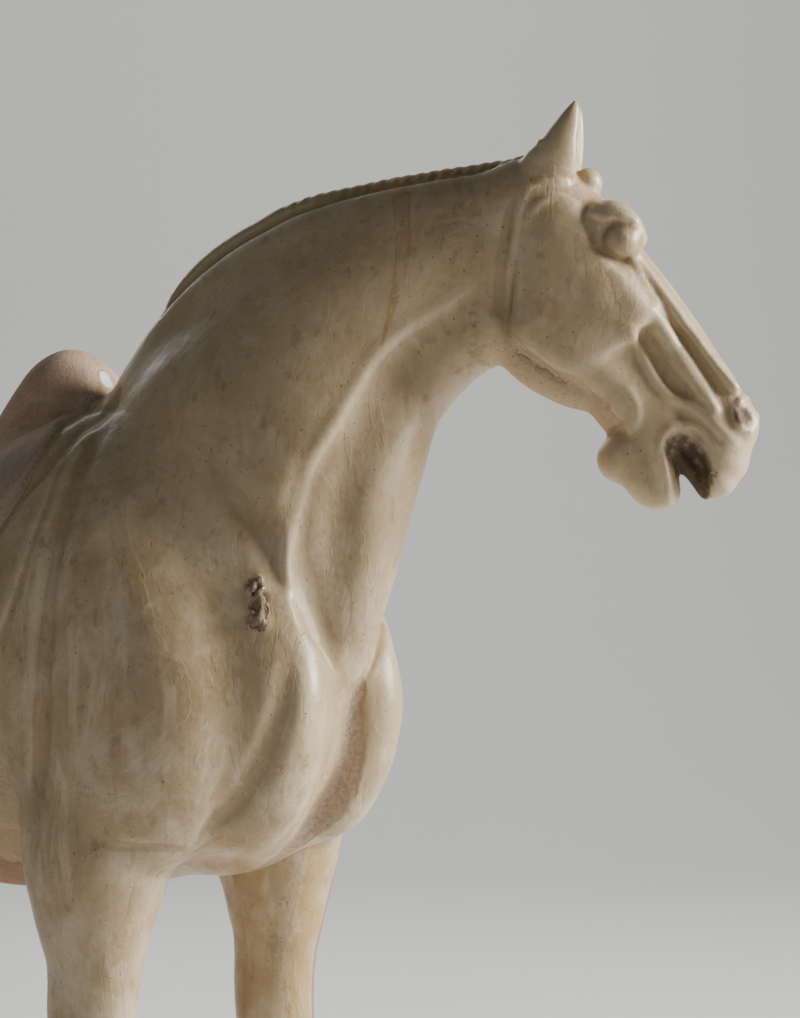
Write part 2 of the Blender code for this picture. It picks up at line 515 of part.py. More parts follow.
def carve_face(clay, head):
    for side in (RIGHT, LEFT):
        def rows(*stations, side=side):
            return mirrored(stations, side)
        # Brow, eye and lid
        ball(clay, (42, 14.5 * side, 7), (13, 10, 11), 9, head)
        limb(clay, rows((31, 19, 3.5, 3, 4), (37, 20.5, 8.5, 4.5, 5), (45, 20.5, 13.5, 4.5, 5),
                        (53, 16, 13.5, 3.5, 4)), 6, head)
        ball(clay, (51, 18.5 * side, 4.5), (9.8, 9.4, 9.4), 3, head)
        line(clay, rows((29, 23, -0.5, 0.4), (34, 25, 3, 1), (39, 26, 8, 1), (44, 26, 13.5, 1),
                        (49, 22, 16.5, 0.6)), 1.7, 1.5, head, side=side)
        rim = [(51 + 10.4 * math.cos(t), 18.5, 4.5 + 10.4 * math.sin(t), 1)
               for t in np.radians(np.linspace(115, 335, 9))]
        line(clay, rows(*rim), 1.5, -1.5, head, steps=2, side=side)
        line(clay, rows((33, 23, -5, 0.5), (39, 23, -6, 1), (47, 23, -7.5, 0.9), (54, 22, -7, 0.5),
                        (60, 20, -3, 0.2)), 3.4, -1.8, head, side=side)
        # Ridges and hollows along the nose
        line(clay, rows((62, 19, 3, 0.6), (81, 17, 0, 1), (92, 16, -0.6, 1), (102, 15, -0.5, 0.3)),
             2.2, 1.8, head, side=side)
        line(clay, rows((66, 16, 5.5, 0.5), (79, 15, 2.6, 1), (98, 13, 2.6, 0.6)),
             1.5, -1.2, head, side=side)
        line(clay, rows((93, 14, 0.2, 0.3), (108, 13, -0.3, 0.7), (122, 13, -0.8, 1), (136, 13, -2, 1),
                        (148, 13, -4.5, 1), (157, 14, -7, 1), (163, 15, -8.5, 0.5)),
             3, -2.8, head, side=side)
        line(clay, rows((91, 16, -5, 0.6), (102, 15, -6.5, 1), (114, 15, -8, 1), (124, 14, -9.2, 1),
                        (138, 13, -10, 1), (151, 13, -10, 0.7)), 4, 3.2, head, side=side)
        line(clay, rows((88, 14, 4, 0.3), (100, 13, 3.4, 1), (115, 12.5, 3.3, 1), (129, 12.3, 3.1, 1),
                        (147, 11.7, 4.6, 0.8)), 2.8, 2.2, head, side=side)
        line(clay, rows((104, 11, 6.6, 0.6), (125, 10, 6.9, 1), (146, 9.5, 7.2, 0.6)),
             1.3, -1.2, head, side=side)
        line(clay, rows((97, 17, -17, 0.6), (107, 16, -18, 1), (119, 15, -19.4, 1), (129, 15, -18.8, 1),
                        (135, 14, -17.4, 0.6)), 3.8, -4, head, side=side)
        line(clay, rows((92, 19, -20.5, 0.5), (107, 17, -23.5, 1), (121, 16, -25.7, 1), (132, 15, -25, 1),
                        (141, 15, -20, 1), (152, 15, -16.5, 1), (163, 16, -14.8, 0.8), (172, 15, -13, 0.4)),
             2.8, 2.6, head, side=side)
        line(clay, rows((102, 17, -30, 0.4), (110, 17, -33, 1), (122, 16, -34, 0.6)),
             7.0, -1.4, head, side=side)
        # Fold over the cheek
        line(clay, rows((14, 24, -32, 0.3), (9.5, 24, -20, 1), (12, 24, -9, 1), (21, 24, -3, 0.5)),
             2.2, 1.6, head, side=side)
        # Rim of the cheek and the crease behind it
        line(clay, rows((-2, 23, -19, 0.4), (8, 25, -31.3, 1), (16.7, 24.5, -41.5, 1), (28.5, 22, -53.6, 1),
                        (39.6, 19.5, -63.6, 0.9), (52, 18.4, -72.3, 0.5)), 2.0, 1.8, head)
        line(clay, rows((0, 23, -30, 0.3), (8, 23, -40, 1), (19, 22, -51, 1), (31, 20, -62, 1),
                        (42, 19, -71, 0.6)), 2.4, -1.6, head)
        # Crease behind the lips
        line(clay, rows((116, 16, -40, 0.5), (125, 15, -42, 1), (130, 15, -45.5, 1), (134, 14, -52.5, 0.6)),
             2.2, 1.8, head, side=side)
        # Nostril: a ring with a sunk middle
        ring = [(164.5 + 9.5 * math.cos(t) * 0.867 + 5 * math.sin(t) * 0.5, 14 * side,
                 1.2 - 9.5 * math.cos(t) * 0.5 + 5 * math.sin(t) * 0.867)
                for t in np.linspace(0, 2 * math.pi, 13)]
        line(clay, ring, 1.7, 1.8, head, steps=2, side=side)
        ball(clay, (164.5, 15.5 * side, 1.5), (7, 5, 3.6), 2, head, cut=True)


def model_ears(clay, head):
    for side in (RIGHT, LEFT):
        limb(clay, mirrored(((-4, 13, -4, 14, 9), (-6, 13.5, 4, 12.5, 8), (-13, 13, 15, 8.5, 6),
                             (-19, 12.5, 23.5, 4.8, 4), (-23, 12, 28.5, 1.8, 1.8)), side), 4, head)
        limb(clay, mirrored(((5, 15.5, 12, 2.4, 3), (-4, 16, 18, 2.6, 3), (-11, 15, 24, 1.8, 2),
                             (-17, 13.5, 28, 0.8, 0.8)), side), 2, head, cut=True)
    # Forelock, bound into a knob
    ball(clay, (13.5, 0, 9.5), (7.8, 8.5, 7), 3, head)


def model_mane(clay):
    """A clipped mane: a low roll with a seam on each side and slanting notches toward the ears."""
    path = smooth_path(MANE, 4)[:, :3]
    limb(clay, [(x, y, z, r, 0.95 * r) for x, y, z, r in MANE], 1.5)
    runs = np.gradient(path, axis=0)
    runs /= np.linalg.norm(runs, axis=1, keepdims=True)
    across = np.cross((0, 0, 1), runs)
    across /= np.linalg.norm(across, axis=1, keepdims=True)
    rises = np.cross(runs, across)
    lengths = np.concatenate([[0], np.cumsum(np.linalg.norm(np.diff(path, axis=0), axis=1))])
    for side in (RIGHT, LEFT):
        line(clay, path[5:] + 9 * side * across[5:] + rises[5:], 1.8, -1.8, steps=1)
    for share in np.linspace(0.46, 0.975, MANE_NOTCHES):
        place = share * lengths[-1]
        middle, run, aside, rise = (np.array([np.interp(place, lengths, row[:, i]) for i in range(3)])
                                    for row in (path, runs, across, rises))
        line(clay, [middle + s * 9 * aside + (10 - 4 * abs(s)) * rise - 5 * abs(s) * run
                    for s in (-1, -0.5, 0, 0.5, 1)], 1.8, -1.7 * share)


def model_horse(cell):
    """The whole figure above the slab, as clay."""
    low, high = np.array((-345, -135, -12)), np.array((500, 175, 705))
    clay = Clay(low, np.ceil((high - low) / cell).astype(int) + 1, cell)
    model_trunk(clay)
    model_neck(clay)
    model_saddle(clay)
    model_tail(clay)
    for side in (RIGHT, LEFT):
        model_foreleg(clay, side)
        model_hindleg(clay, side)
    model_head(clay)
    carve_body(clay)
    model_mane(clay)
    # Flat under the hooves, where they run into the slab
    np.maximum(clay.field, -HOOF_SINK / UNIT - clay.axes[2], out=clay.field)
    return clay


def skin_of(clay):
    """The block's surface as points and outward quads: one point in each cell that it crosses."""
    inside = clay.field < 0
    counts = np.array(inside.shape) - 1
    corners = list(np.ndindex(2, 2, 2))
    total = sum(inside[tuple(slice(c, c + n) for c, n in zip(corner, counts))].astype(np.int8)
                for corner in corners)
    crossed = (total > 0) & (total < 8)
    number = np.full(counts, -1)
    number[crossed] = np.arange(crossed.sum())
    cells = np.argwhere(crossed)
    values = {corner: clay.field[tuple((cells + corner).T)] for corner in corners}
    summed, hits = np.zeros((len(cells), 3)), np.zeros(len(cells))
    for a in corners:
        for axis in range(3):
            if a[axis]:
                continue
            b = tuple(1 if i == axis else c for i, c in enumerate(a))
            fa, fb = values[a], values[b]
            hit = (fa < 0) != (fb < 0)
            t = np.where(hit, fa / np.where(hit, fa - fb, 1), 0)
            place = np.array(a) + t[:, None] * (np.array(b) - np.array(a))
            summed += place * hit[:, None]
            hits += hit
    points = clay.low + clay.cell * (cells + summed / hits[:, None])
    quads = []
    for axis in range(3):
        second, third = (axis + 1) % 3, (axis + 2) % 3
        start = [slice(1, n) for n in inside.shape]
        start[axis] = slice(0, counts[axis])
        ahead = list(start)
        ahead[axis] = slice(1, counts[axis] + 1)
        before, after = inside[tuple(start)], inside[tuple(ahead)]
        for leaving in (True, False):
            edges = np.argwhere((before & ~after) if leaving else (~before & after))
            edges += [0 if i == axis else 1 for i in range(3)]
            around = []
            for step in ((-1, -1), (0, -1), (0, 0), (-1, 0)):
                shift = np.zeros(3, int)
                shift[second], shift[third] = step
                around.append(number[tuple((edges + shift).T)])
            quads.append(np.stack(around if leaving else around[::-1], axis=1))
    return points, np.vstack(quads)


def mesh_of(name, points, faces):
    mesh = bpy.data.meshes.new(name)
    mesh.vertices.add(len(points))
    mesh.vertices.foreach_set("co", points.astype(np.float32).ravel())
    mesh.loops.add(faces.size)
    mesh.loops.foreach_set("vertex_index", faces.astype(np.int32).ravel())
    mesh.polygons.add(len(faces))
    mesh.polygons.foreach_set("loop_start", np.arange(0, faces.size, 4, dtype=np.int32))
    mesh.update(calc_edges=True)
    mesh.validate()
    return mesh


def mend(mesh):
    """Draws together each edge where the skin touches itself, so that every edge has two faces."""
    tiny = SCULPT_CELL * UNIT / 1000
    shape = bmesh.new()
    shape.from_mesh(mesh)
    touching = [edge for edge in shape.edges if len(edge.link_faces) != 2]
    while touching:
        bmesh.ops.collapse(shape, edges=touching)
        short = [edge for edge in shape.edges if edge.calc_length() < tiny]
        bmesh.ops.dissolve_degenerate(shape, dist=tiny, edges=short)
        touching = [edge for edge in shape.edges if len(edge.link_faces) != 2]
    shape.to_mesh(mesh)
    shape.free()


def to_world(points):
    """Figure units to metres, with the soles on the slab."""
    return points * UNIT + np.array((0, 0, SLAB_THICKNESS))


def slab_half_sizes():
    """Half the slab's length and width: the hooves' reach and the overhang."""
    front = max(FOOT_FORWARD.values()) + HOOF_AHEAD
    reach = (max(front, -HIND_FOOT) + HOOF_RADII[0]) * UNIT
    side = (max(FOREFEET_APART, HINDFEET_APART) / 2 + HOOF_RADII[1]) * UNIT
    return reach + SLAB_OVERHANG, side + SLAB_OVERHANG


def add_slab(material):
    length, width = slab_half_sizes()
    shape = bmesh.new()
    bmesh.ops.create_cube(shape, size=1)
    bmesh.ops.scale(shape, vec=(2 * length, 2 * width, SLAB_THICKNESS), verts=shape.verts)
    bmesh.ops.translate(shape, vec=(0, 0, SLAB_THICKNESS / 2), verts=shape.verts)
    mesh = bpy.data.meshes.new("slab")
    shape.to_mesh(mesh)
    shape.free()
    mesh.materials.append(material)
    slab = bpy.data.objects.new("slab", mesh)
    bpy.context.scene.collection.objects.link(slab)
    rounded = slab.modifiers.new("Edges", "BEVEL")
    rounded.width = SLAB_EDGE
    rounded.segments = 3
    slab.hide_render = True
    slab.display_type = "WIRE"
    return slab


def glaze():
    material = bpy.data.materials.new("straw_glaze")
    material.use_nodes = True
    shader = material.node_tree.nodes["Principled BSDF"]
    shader.inputs["Base Color"].default_value = GLAZE_COLOUR
    shader.inputs["Roughness"].default_value = GLAZE_ROUGHNESS
    shader.inputs["Metallic"].default_value = 0
    return material


def build():
    for obj in list(bpy.data.objects):
        bpy.data.objects.remove(obj, do_unlink=True)
    clay = model_horse(SCULPT_CELL)
    points, quads = skin_of(clay)
    material = glaze()
    mesh = mesh_of("horse", to_world(points), quads)
    mesh.materials.append(material)
    mesh.shade_smooth()
    horse = bpy.data.objects.new("horse", mesh)
    bpy.context.scene.collection.objects.link(horse)
    mend(mesh)
    thin = horse.modifiers.new("Facets", "DECIMATE")
    thin.ratio = FACETS / (2 * len(quads))
    graph = bpy.context.evaluated_depsgraph_get()
    horse.data = bpy.data.meshes.new_from_object(horse.evaluated_get(graph))
    horse.modifiers.clear()
    mend(horse.data)
    joined = horse.modifiers.new("Slab", "BOOLEAN")
    joined.operation = "UNION"
    joined.solver = "EXACT"
    joined.object = add_slab(material)


build()
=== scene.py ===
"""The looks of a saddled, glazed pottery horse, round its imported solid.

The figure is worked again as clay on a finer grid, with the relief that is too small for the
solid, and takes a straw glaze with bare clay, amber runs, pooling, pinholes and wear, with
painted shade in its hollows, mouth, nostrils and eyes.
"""

import json
import math

import bpy
import numpy as np
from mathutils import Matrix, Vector

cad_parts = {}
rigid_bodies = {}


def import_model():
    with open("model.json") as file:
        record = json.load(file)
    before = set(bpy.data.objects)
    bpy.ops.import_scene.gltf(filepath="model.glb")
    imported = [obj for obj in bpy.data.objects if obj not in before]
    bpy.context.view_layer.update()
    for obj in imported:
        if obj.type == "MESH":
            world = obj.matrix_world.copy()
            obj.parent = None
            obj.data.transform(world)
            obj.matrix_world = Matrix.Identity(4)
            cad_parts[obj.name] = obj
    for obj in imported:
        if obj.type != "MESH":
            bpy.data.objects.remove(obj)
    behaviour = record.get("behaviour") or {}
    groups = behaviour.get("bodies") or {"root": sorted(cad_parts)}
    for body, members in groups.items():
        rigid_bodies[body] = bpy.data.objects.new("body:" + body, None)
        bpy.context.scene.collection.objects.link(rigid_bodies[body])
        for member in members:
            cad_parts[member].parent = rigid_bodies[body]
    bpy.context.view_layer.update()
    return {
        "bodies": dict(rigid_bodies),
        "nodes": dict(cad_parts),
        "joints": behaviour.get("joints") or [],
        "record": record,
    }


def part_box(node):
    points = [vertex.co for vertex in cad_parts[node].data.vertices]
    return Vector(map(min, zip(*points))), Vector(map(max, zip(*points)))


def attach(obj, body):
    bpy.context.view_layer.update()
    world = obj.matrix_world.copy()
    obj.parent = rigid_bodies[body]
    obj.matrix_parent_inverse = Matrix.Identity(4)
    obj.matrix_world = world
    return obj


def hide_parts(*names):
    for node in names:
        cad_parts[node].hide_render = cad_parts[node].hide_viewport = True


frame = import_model()

FINE_CELL = 1.6           # grid of the clay, figure units
FINE_FACETS = 194000      # triangles of the shown horse
FIGURE_LONG = 778.8       # figure units from tail to muzzle
WAVE_HEIGHT = 0.30        # of the hand-smoothed body's unevenness
CURVE_STEP = 3.5          # over which the surface's bend is read
SETTLE_ROUNDS = 6
DROP_HEIGHT, DROP_ROUNDS = 24, 40
WINDOW_MARGIN = 4
LINE_REACH = 2.6          # how many widths away a ridge or groove ends

# Camera, metres and radians
VIEW_AZIMUTH = math.radians(38)
VIEW_TARGET = (0.320, 0.0, 0.486)
VIEW_DISTANCE = 1.6
FOCAL_LENGTH, SENSOR_WIDTH = 108.0, 36.0     # millimetres

# Stage and lights
FLOOR_COLOUR = (0.74, 0.74, 0.72, 1)
FLOOR_FRONT, FLOOR_BACK, FLOOR_HALF = 3.0, 2.2, 4.5
FLOOR_BEND, FLOOR_RISE = 1.6, 4.0
FLOOR_ROUGHNESS = 0.8
KEY_PLACE, KEY_SIZE, KEY_POWER = (1.75, 1.10, 1.05), 1.0, 92.0
FILL_PLACE, FILL_SIZE, FILL_POWER = (0.2, -2.2, 0.9), 2.0, 3.5
BACK_PLACE, BACK_SIZE, BACK_POWER = (-1.2, 0.8, 1.4), 1.0, 6.0
WALL_PLACE, WALL_SIZE, WALL_POWER = (-0.5, 1.0, 2.2), 1.6, 40.0
KEY_AIM, FIGURE_AIM, WALL_AIM = (0.25, 0, 0.45), (0.1, 0, 0.40), (-2.0, 2.6, 0.6)
KEY_COLOUR = (1.0, 0.97, 0.92)
WORLD_COLOUR, WORLD_STRENGTH = (0.9, 0.95, 1.0, 1), 0.09

# Colours, linear
STRAW = (0.47, 0.35, 0.195, 1)
IVORY = (0.65, 0.53, 0.355, 1)
OLIVE = (0.36, 0.29, 0.16, 1)
BUFF_STAIN = (0.42, 0.27, 0.14, 1)
POOLED = (0.21, 0.135, 0.065, 1)
AMBER = (0.36, 0.20, 0.06, 1)
DARK_AMBER = (0.17, 0.09, 0.035, 1)
GOLD = (0.46, 0.29, 0.09, 1)
WHITE_GLAZE = (0.80, 0.78, 0.72, 1)
PINK_CLAY = (0.52, 0.33, 0.225, 1)
BUFF_CLAY = (0.58, 0.42, 0.28, 1)
GREY_CLAY = (0.34, 0.27, 0.215, 1)
JAW_CLAY = (0.66, 0.50, 0.31, 1)
BROWN_CLAY = (0.36, 0.25, 0.175, 1)
CHANNEL_CLAY = (0.40, 0.32, 0.255, 1)
SCAR_CLAY = (0.235, 0.155, 0.10, 1)
# Painted shade inside the mouth and nostrils
CAVE_SHADE = (0.085, 0.05, 0.025, 1)
RED_CLAY = (0.33, 0.18, 0.12, 1)
SPECK = (0.09, 0.06, 0.04, 1)

# Glaze
GLAZE_IOR = 1.52
COAT_LEVEL = 0.56         # of the noise whose upper part is a second coat
BUMP_DISTANCE = 0.0011    # metres

# Sizes of the slab, metres
SLAB_THICKNESS = 0.014
SLAB_EDGE = 0.003

# Every number of the horse below is in the figure's own units, about a millimetre each

FAR = 60.0                # distance that stands for "nothing near"
HOOF_SINK = 3.0           # how deep the hooves run into the slab
RIGHT, LEFT = -1.0, 1.0


class Clay:
    """Signed distances on a grid, negative inside, in figure units with z = 0 at the soles."""

    def __init__(self, low, counts, cell):
        self.cell = cell
        self.low = np.array(low, float)
        self.axes = [(self.low[i] + cell * np.arange(counts[i])).astype(np.float32) for i in range(3)]
        self.field = np.full(counts, FAR, np.float32)

    def piece(self, window):
        """A copy of the block's clay inside a window, to be worked on its own."""
        low = [axis[part.start] for axis, part in zip(self.axes, window)]
        copy = Clay(low, self.field[window].shape, self.cell)
        copy.field = self.field[window].copy()
        return copy

    def window(self, low, high):
        """The slices of the grid between two corners."""
        slices = []
        for axis in range(3):
            first = int((low[axis] - self.low[axis]) / self.cell)
            last = int((high[axis] - self.low[axis]) / self.cell) + 2
            slices.append(slice(max(first, 0), max(min(last, self.field.shape[axis]), 1)))
        return tuple(slices)

    def within(self, whole, low, high):
        """The slices between two corners, kept inside a larger window: on the grid, and in it."""
        part = tuple(slice(max(p.start, w.start), min(p.stop, w.stop))
                     for p, w in zip(self.window(low, high), whole))
        return part, tuple(slice(p.start - w.start, p.stop - w.start) for p, w in zip(part, whole))

    def everywhere(self):
        return self.places(tuple(slice(0, n) for n in self.field.shape))

    def places(self, window):
        x, y, z = (axis[part] for axis, part in zip(self.axes, window))
        return x[:, None, None], y[None, :, None], z[None, None, :]

    def join(self, window, form, blend):
        self.field[window] = soft_min(self.field[window], form, blend)

    def cut(self, window, form, blend):
        self.field[window] = -soft_min(-self.field[window], form, blend)

    def sample(self, points):
        """The field at some points, read between the grid's places."""
        at = (points - self.low) / self.cell
        base = np.clip(np.floor(at).astype(int), 0, np.array(self.field.shape) - 2)
        part = at - base
        total = np.zeros(len(points))
        for corner in np.ndindex(2, 2, 2):
            weight = np.prod(np.where(corner, part, 1 - part), axis=1)
            i, j, k = (base + corner).T
            total += weight * self.field[i, j, k]
        return total

    def slope(self, points):
        """The field's steepest direction at some points, not scaled."""
        step = self.cell * np.eye(3)
        return np.stack([self.sample(points + s) - self.sample(points - s) for s in step], axis=1)

    def settle(self, points):
        """Moves points onto the nearest surface."""
        points = np.array(points, float)
        for _ in range(SETTLE_ROUNDS):
            slope = self.slope(points)
            slope /= np.maximum(np.linalg.norm(slope, axis=1, keepdims=True), 1e-6)
            points -= self.sample(points)[:, None] * slope
        return points

    def drop_on(self, points, outward):
        """Moves points onto the surface along one direction, starting from well outside it."""
        points = points + DROP_HEIGHT * outward
        for _ in range(DROP_ROUNDS):
            points = points - np.maximum(0.8 * self.sample(points), 0)[:, None] * outward
        return points


def soft_min(a, b, blend):
    """The smaller of two fields, with a fillet of about the size of blend between them."""
    if blend <= 0:
        return np.minimum(a, b)
    gap = np.maximum(blend - np.abs(a - b), 0) / blend
    return np.minimum(a, b) - gap * gap * (blend / 4)


def smooth_path(stations, steps):
    """A round curve through the stations, with this many steps between each pair."""
    stations = np.array(stations, float)
    padded = np.vstack([2 * stations[0] - stations[1], stations, 2 * stations[-1] - stations[-2]])
    rows = []
    for p0, p1, p2, p3 in zip(padded, padded[1:], padded[2:], padded[3:]):
        for t in np.arange(steps) / steps:
            rows.append(0.5 * (2 * p1 + (p2 - p0) * t + (2 * p0 - 5 * p1 + 4 * p2 - p3) * t ** 2
                               + (3 * p1 - p0 - 3 * p2 + p3) * t ** 3))
    rows.append(stations[-1])
    return np.array(rows)


class Frame:
    """A place and three directions in which a group of forms is given."""

    def __init__(self, origin, axes):
        self.origin = np.array(origin, float)
        self.axes = np.array(axes, float)

    def point(self, local):
        return self.origin + np.array(local, float) @ self.axes

    def points(self, rows):
        """Rows that begin with a local place, with that place in the figure's frame."""
        rows = np.array(rows, float)
        return np.hstack([self.origin + rows[:, :3] @ self.axes, rows[:, 3:]])


FIGURE = Frame((0, 0, 0), np.eye(3))


def ball(clay, centre, radii, blend, frame=FIGURE, tilt=0.0, cut=False):
    """Adds or cuts an ellipsoid; tilt turns it about the frame's second axis, in degrees."""
    turn = math.radians(tilt)
    first, second, third = frame.axes
    axes = (math.cos(turn) * first - math.sin(turn) * third, second,
            math.sin(turn) * first + math.cos(turn) * third)
    place = frame.point(centre)
    reach = max(radii) + blend + 2 * clay.cell + WINDOW_MARGIN
    window = clay.window(place - reach, place + reach)
    x, y, z = clay.places(window)
    x, y, z = x - place[0], y - place[1], z - place[2]
    near, far = 1e-6, 1e-9
    for axis, radius in zip(axes, radii):
        along = x * axis[0] + y * axis[1] + z * axis[2]
        near = near + (along / radius) ** 2
        far = far + (along / radius ** 2) ** 2
    near = np.sqrt(near)
    form = (near * (near - 1) / np.sqrt(far)).astype(np.float32)
    (clay.cut if cut else clay.join)(window, form, blend)


def limb(clay, stations, blend, frame=FIGURE, side=(0, 1, 0), steps=4, cut=False):
    """Adds or cuts a limb: stations of place, radius in the plane and radius to the side.

    A station may end with the way that its plane faces, in degrees to the left of +X.
    """
    rows = frame.points(smooth_path(stations, steps))
    sides = side_directions(rows, side, frame)
    places, plane, lateral = rows[:, :3], np.maximum(rows[:, 3], 0.3), np.maximum(rows[:, 4], 0.3)
    reach = np.maximum(plane, lateral) + blend + 2 * clay.cell + WINDOW_MARGIN
    whole = clay.window((places - reach[:, None]).min(axis=0), (places + reach[:, None]).max(axis=0))
    form = np.full([s.stop - s.start for s in whole], FAR, np.float32)
    for i in range(len(rows) - 1):
        pair = places[i:i + 2]
        wide = reach[i:i + 2].max()
        part, inner = clay.within(whole, pair.min(axis=0) - wide, pair.max(axis=0) + wide)
        rod = elliptic_rod(clay.places(part), pair, plane[i:i + 2], lateral[i:i + 2], sides[i:i + 2])
        np.minimum(form[inner], rod, out=form[inner])
    (clay.cut if cut else clay.join)(whole, form, blend)


def side_directions(rows, side, frame):
    if rows.shape[1] == 5:
        return [np.array(side, float) @ frame.axes] * len(rows)
    headings = np.radians(rows[:, 5])
    return [np.array((-math.sin(h), math.cos(h), 0)) for h in headings]


def elliptic_rod(grid, ends, plane, lateral, sides):
    """Distance to a straight stretch of limb whose radii run from one end's to the other's."""
    run = ends[1] - ends[0]
    x, y, z = (g - np.float32(e) for g, e in zip(grid, ends[0]))
    t = np.clip((x * run[0] + y * run[1] + z * run[2]) / max(run @ run, 1e-9), 0, 1).astype(np.float32)
    x, y, z = x - t * run[0], y - t * run[1], z - t * run[2]
    turn = sides[1] - sides[0]
    across = sum(g * (s + t * d) for g, s, d in zip((x, y, z), sides[0], turn))
    square = across * across
    rest = np.maximum(x * x + y * y + z * z - square, 0)
    a = plane[0] + t * (plane[1] - plane[0])
    b = lateral[0] + t * (lateral[1] - lateral[0])
    near = np.sqrt(square / b ** 2 + rest / a ** 2 + 1e-6)
    far = np.sqrt(square / b ** 4 + rest / a ** 4 + 1e-9)
    return (near * (near - 1) / far).astype(np.float32)


def line(clay, stations, width, height, frame=FIGURE, steps=4, side=0):
    """Raises a rounded ridge along a line on the surface, or presses a groove where height < 0.

    A station is a place, and may end with its own share of the height. The line lies on the
    nearest surface or, where side is RIGHT or LEFT, on the surface seen from that side.
    """
    stations = np.array(stations, float)
    if stations.shape[1] == 3:
        stations = np.hstack([stations, np.ones((len(stations), 1))])
    rows = frame.points(smooth_path(stations, steps))
    if side:
        places = clay.drop_on(rows[:, :3], side * frame.axes[1])
    else:
        places = clay.settle(rows[:, :3])
        for _ in range(2):
            places[1:-1] = (places[:-2] + 2 * places[1:-1] + places[2:]) / 4
    shares = rows[:, 3]
    reach = LINE_REACH * width
    whole = clay.window(places.min(axis=0) - reach, places.max(axis=0) + reach)
    lift = np.zeros([s.stop - s.start for s in whole], np.float32)
    for i in range(len(rows) - 1):
        pair = places[i:i + 2]
        part, inner = clay.within(whole, pair.min(axis=0) - reach, pair.max(axis=0) + reach)
        run = pair[1] - pair[0]
        x, y, z = (g - np.float32(e) for g, e in zip(clay.places(part), pair[0]))
        t = np.clip((x * run[0] + y * run[1] + z * run[2]) / max(run @ run, 1e-9), 0, 1)
        square = (x - t * run[0]) ** 2 + (y - t * run[1]) ** 2 + (z - t * run[2]) ** 2
        rise = (shares[i] + t * (shares[i + 1] - shares[i])) * np.exp(-square / width ** 2)
        np.maximum(lift[inner], rise, out=lift[inner])
    clay.field[whole] -= height * lift


def mirrored(rows, side):
    """Rows given for the left, for one side: the second number changes sign on the right."""
    rows = np.array(rows, float)
    rows[..., 1] *= side
    return rows


# Places on the figure that several forms share
NECK_CORE = ((196, 0, 455, 100, 60, 0), (214, 3, 483, 92, 55, 6), (230, 9, 507, 81, 49, 14),
             (242, 17, 537, 68, 43, 20), (256, 25, 558, 59, 39, 23), (277, 37, 580, 49, 35, 25),
             (303, 51, 597, 41, 31, 27), (334, 67, 608, 36, 27, 29), (352, 76, 612, 34, 25, 30))
NECK_CREST = ((112, 0, 498, 11), (126, 0, 518, 12), (140, 0, 538, 14), (156, 2, 563, 14),
              (174, 4, 581, 14), (193, 9, 596, 14), (213, 15, 608, 14), (240, 26, 621, 14),
              (268, 39, 629, 14), (302, 54, 634, 14), (345, 73, 640, 14))
THROAT = ((262, 3, 372, 8), (270, 5, 388, 14), (274, 7, 406, 20), (277, 10, 430, 23.5),
          (280, 15, 452, 23), (281, 20, 472, 23), (283, 27, 495, 23), (289, 38, 526, 23),
          (301, 48, 548, 23), (315, 54, 562, 23), (330, 62, 572, 23))
MANE = ((148, 1, 560, 3), (156, 2, 575, 6), (166, 4, 590, 8), (184, 9, 607, 8.5), (206, 15, 620, 8.5),
        (234, 26, 634, 8.5), (265, 39, 641, 8.5), (300, 54, 647, 8.5), (330, 67, 651, 8.5),
        (350, 76, 653, 8.5))
MANE_NOTCHES = 19
HEAD_TURN = math.radians(31)      # of the head to the horse's left
HEAD_DROP = math.radians(53)      # of the nose line below level
POLL = (366, 80, 652)
LEG_SHARES = {RIGHT: 1.04, LEFT: 0.97}
FOOT_FORWARD = {RIGHT: 167, LEFT: 176}
FOREFEET_APART = 140
HINDFEET_APART = 124
HIND_FOOT = -192
HOOF_RADII = (27, 26)
HOOF_AHEAD = 12                   # of a fore hoof's middle before its leg's


def head_frame():
    """u runs down the nose line, w to the horse's left and v out of the forehead."""
    forward = np.array((math.cos(HEAD_TURN), math.sin(HEAD_TURN), 0))
    up = np.array((0, 0, 1))
    u = math.cos(HEAD_DROP) * forward - math.sin(HEAD_DROP) * up
    v = math.sin(HEAD_DROP) * forward + math.cos(HEAD_DROP) * up
    w = np.array((-math.sin(HEAD_TURN), math.cos(HEAD_TURN), 0))
    return Frame(POLL, (u, w, v))


def across_neck(rows, side):
    """Rows on the neck's right side; for the left, mirrored in the neck's own bent middle."""
    rows = np.array(rows, float)
    if side == RIGHT:
        return rows
    core = smooth_path(NECK_CORE, 6)
    sides = np.array(side_directions(core, None, FIGURE))
    for row in rows:
        near = np.argmin((core[:, 0] - row[0]) ** 2 + (core[:, 2] - row[2]) ** 2)
        row[:3] -= 2 * ((row[:3] - core[near, :3]) @ sides[near]) * sides[near]
    return rows


def model_trunk(clay):
    limb(clay, ((-190, 0, 402, 94, 86), (-135, 0, 396, 108, 97), (-70, 0, 388, 120, 102),
                (10, 0, 384, 128, 104), (80, 0, 386, 130, 102), (135, 0, 387, 123, 94),
                (172, 0, 382, 108, 86)), 0)
    ball(clay, (-178, 0, 438), (104, 66, 74), 30)
    for side in (RIGHT, LEFT):
        ball(clay, (-196, 46 * side, 398), (86, 54, 108), 24, tilt=-8)
        limb(clay, mirrored(((120, 32, 472, 38, 24), (138, 45, 450, 60, 40), (158, 56, 402, 76, 48),
                             (178, 62, 352, 66, 42), (186, 66, 322, 44, 36)), side), 22)
        ball(clay, (198, 62 * side, 356), (54, 34, 70), 22)
        ball(clay, (235, 32 * side, 369), (57, 33, 63), 12)
        ball(clay, (230, 30 * side, 343), (53, 33, 55), 8)
    # Keel of the breast
    ball(clay, (203, 0, 338), (58, 52, 66), 12)


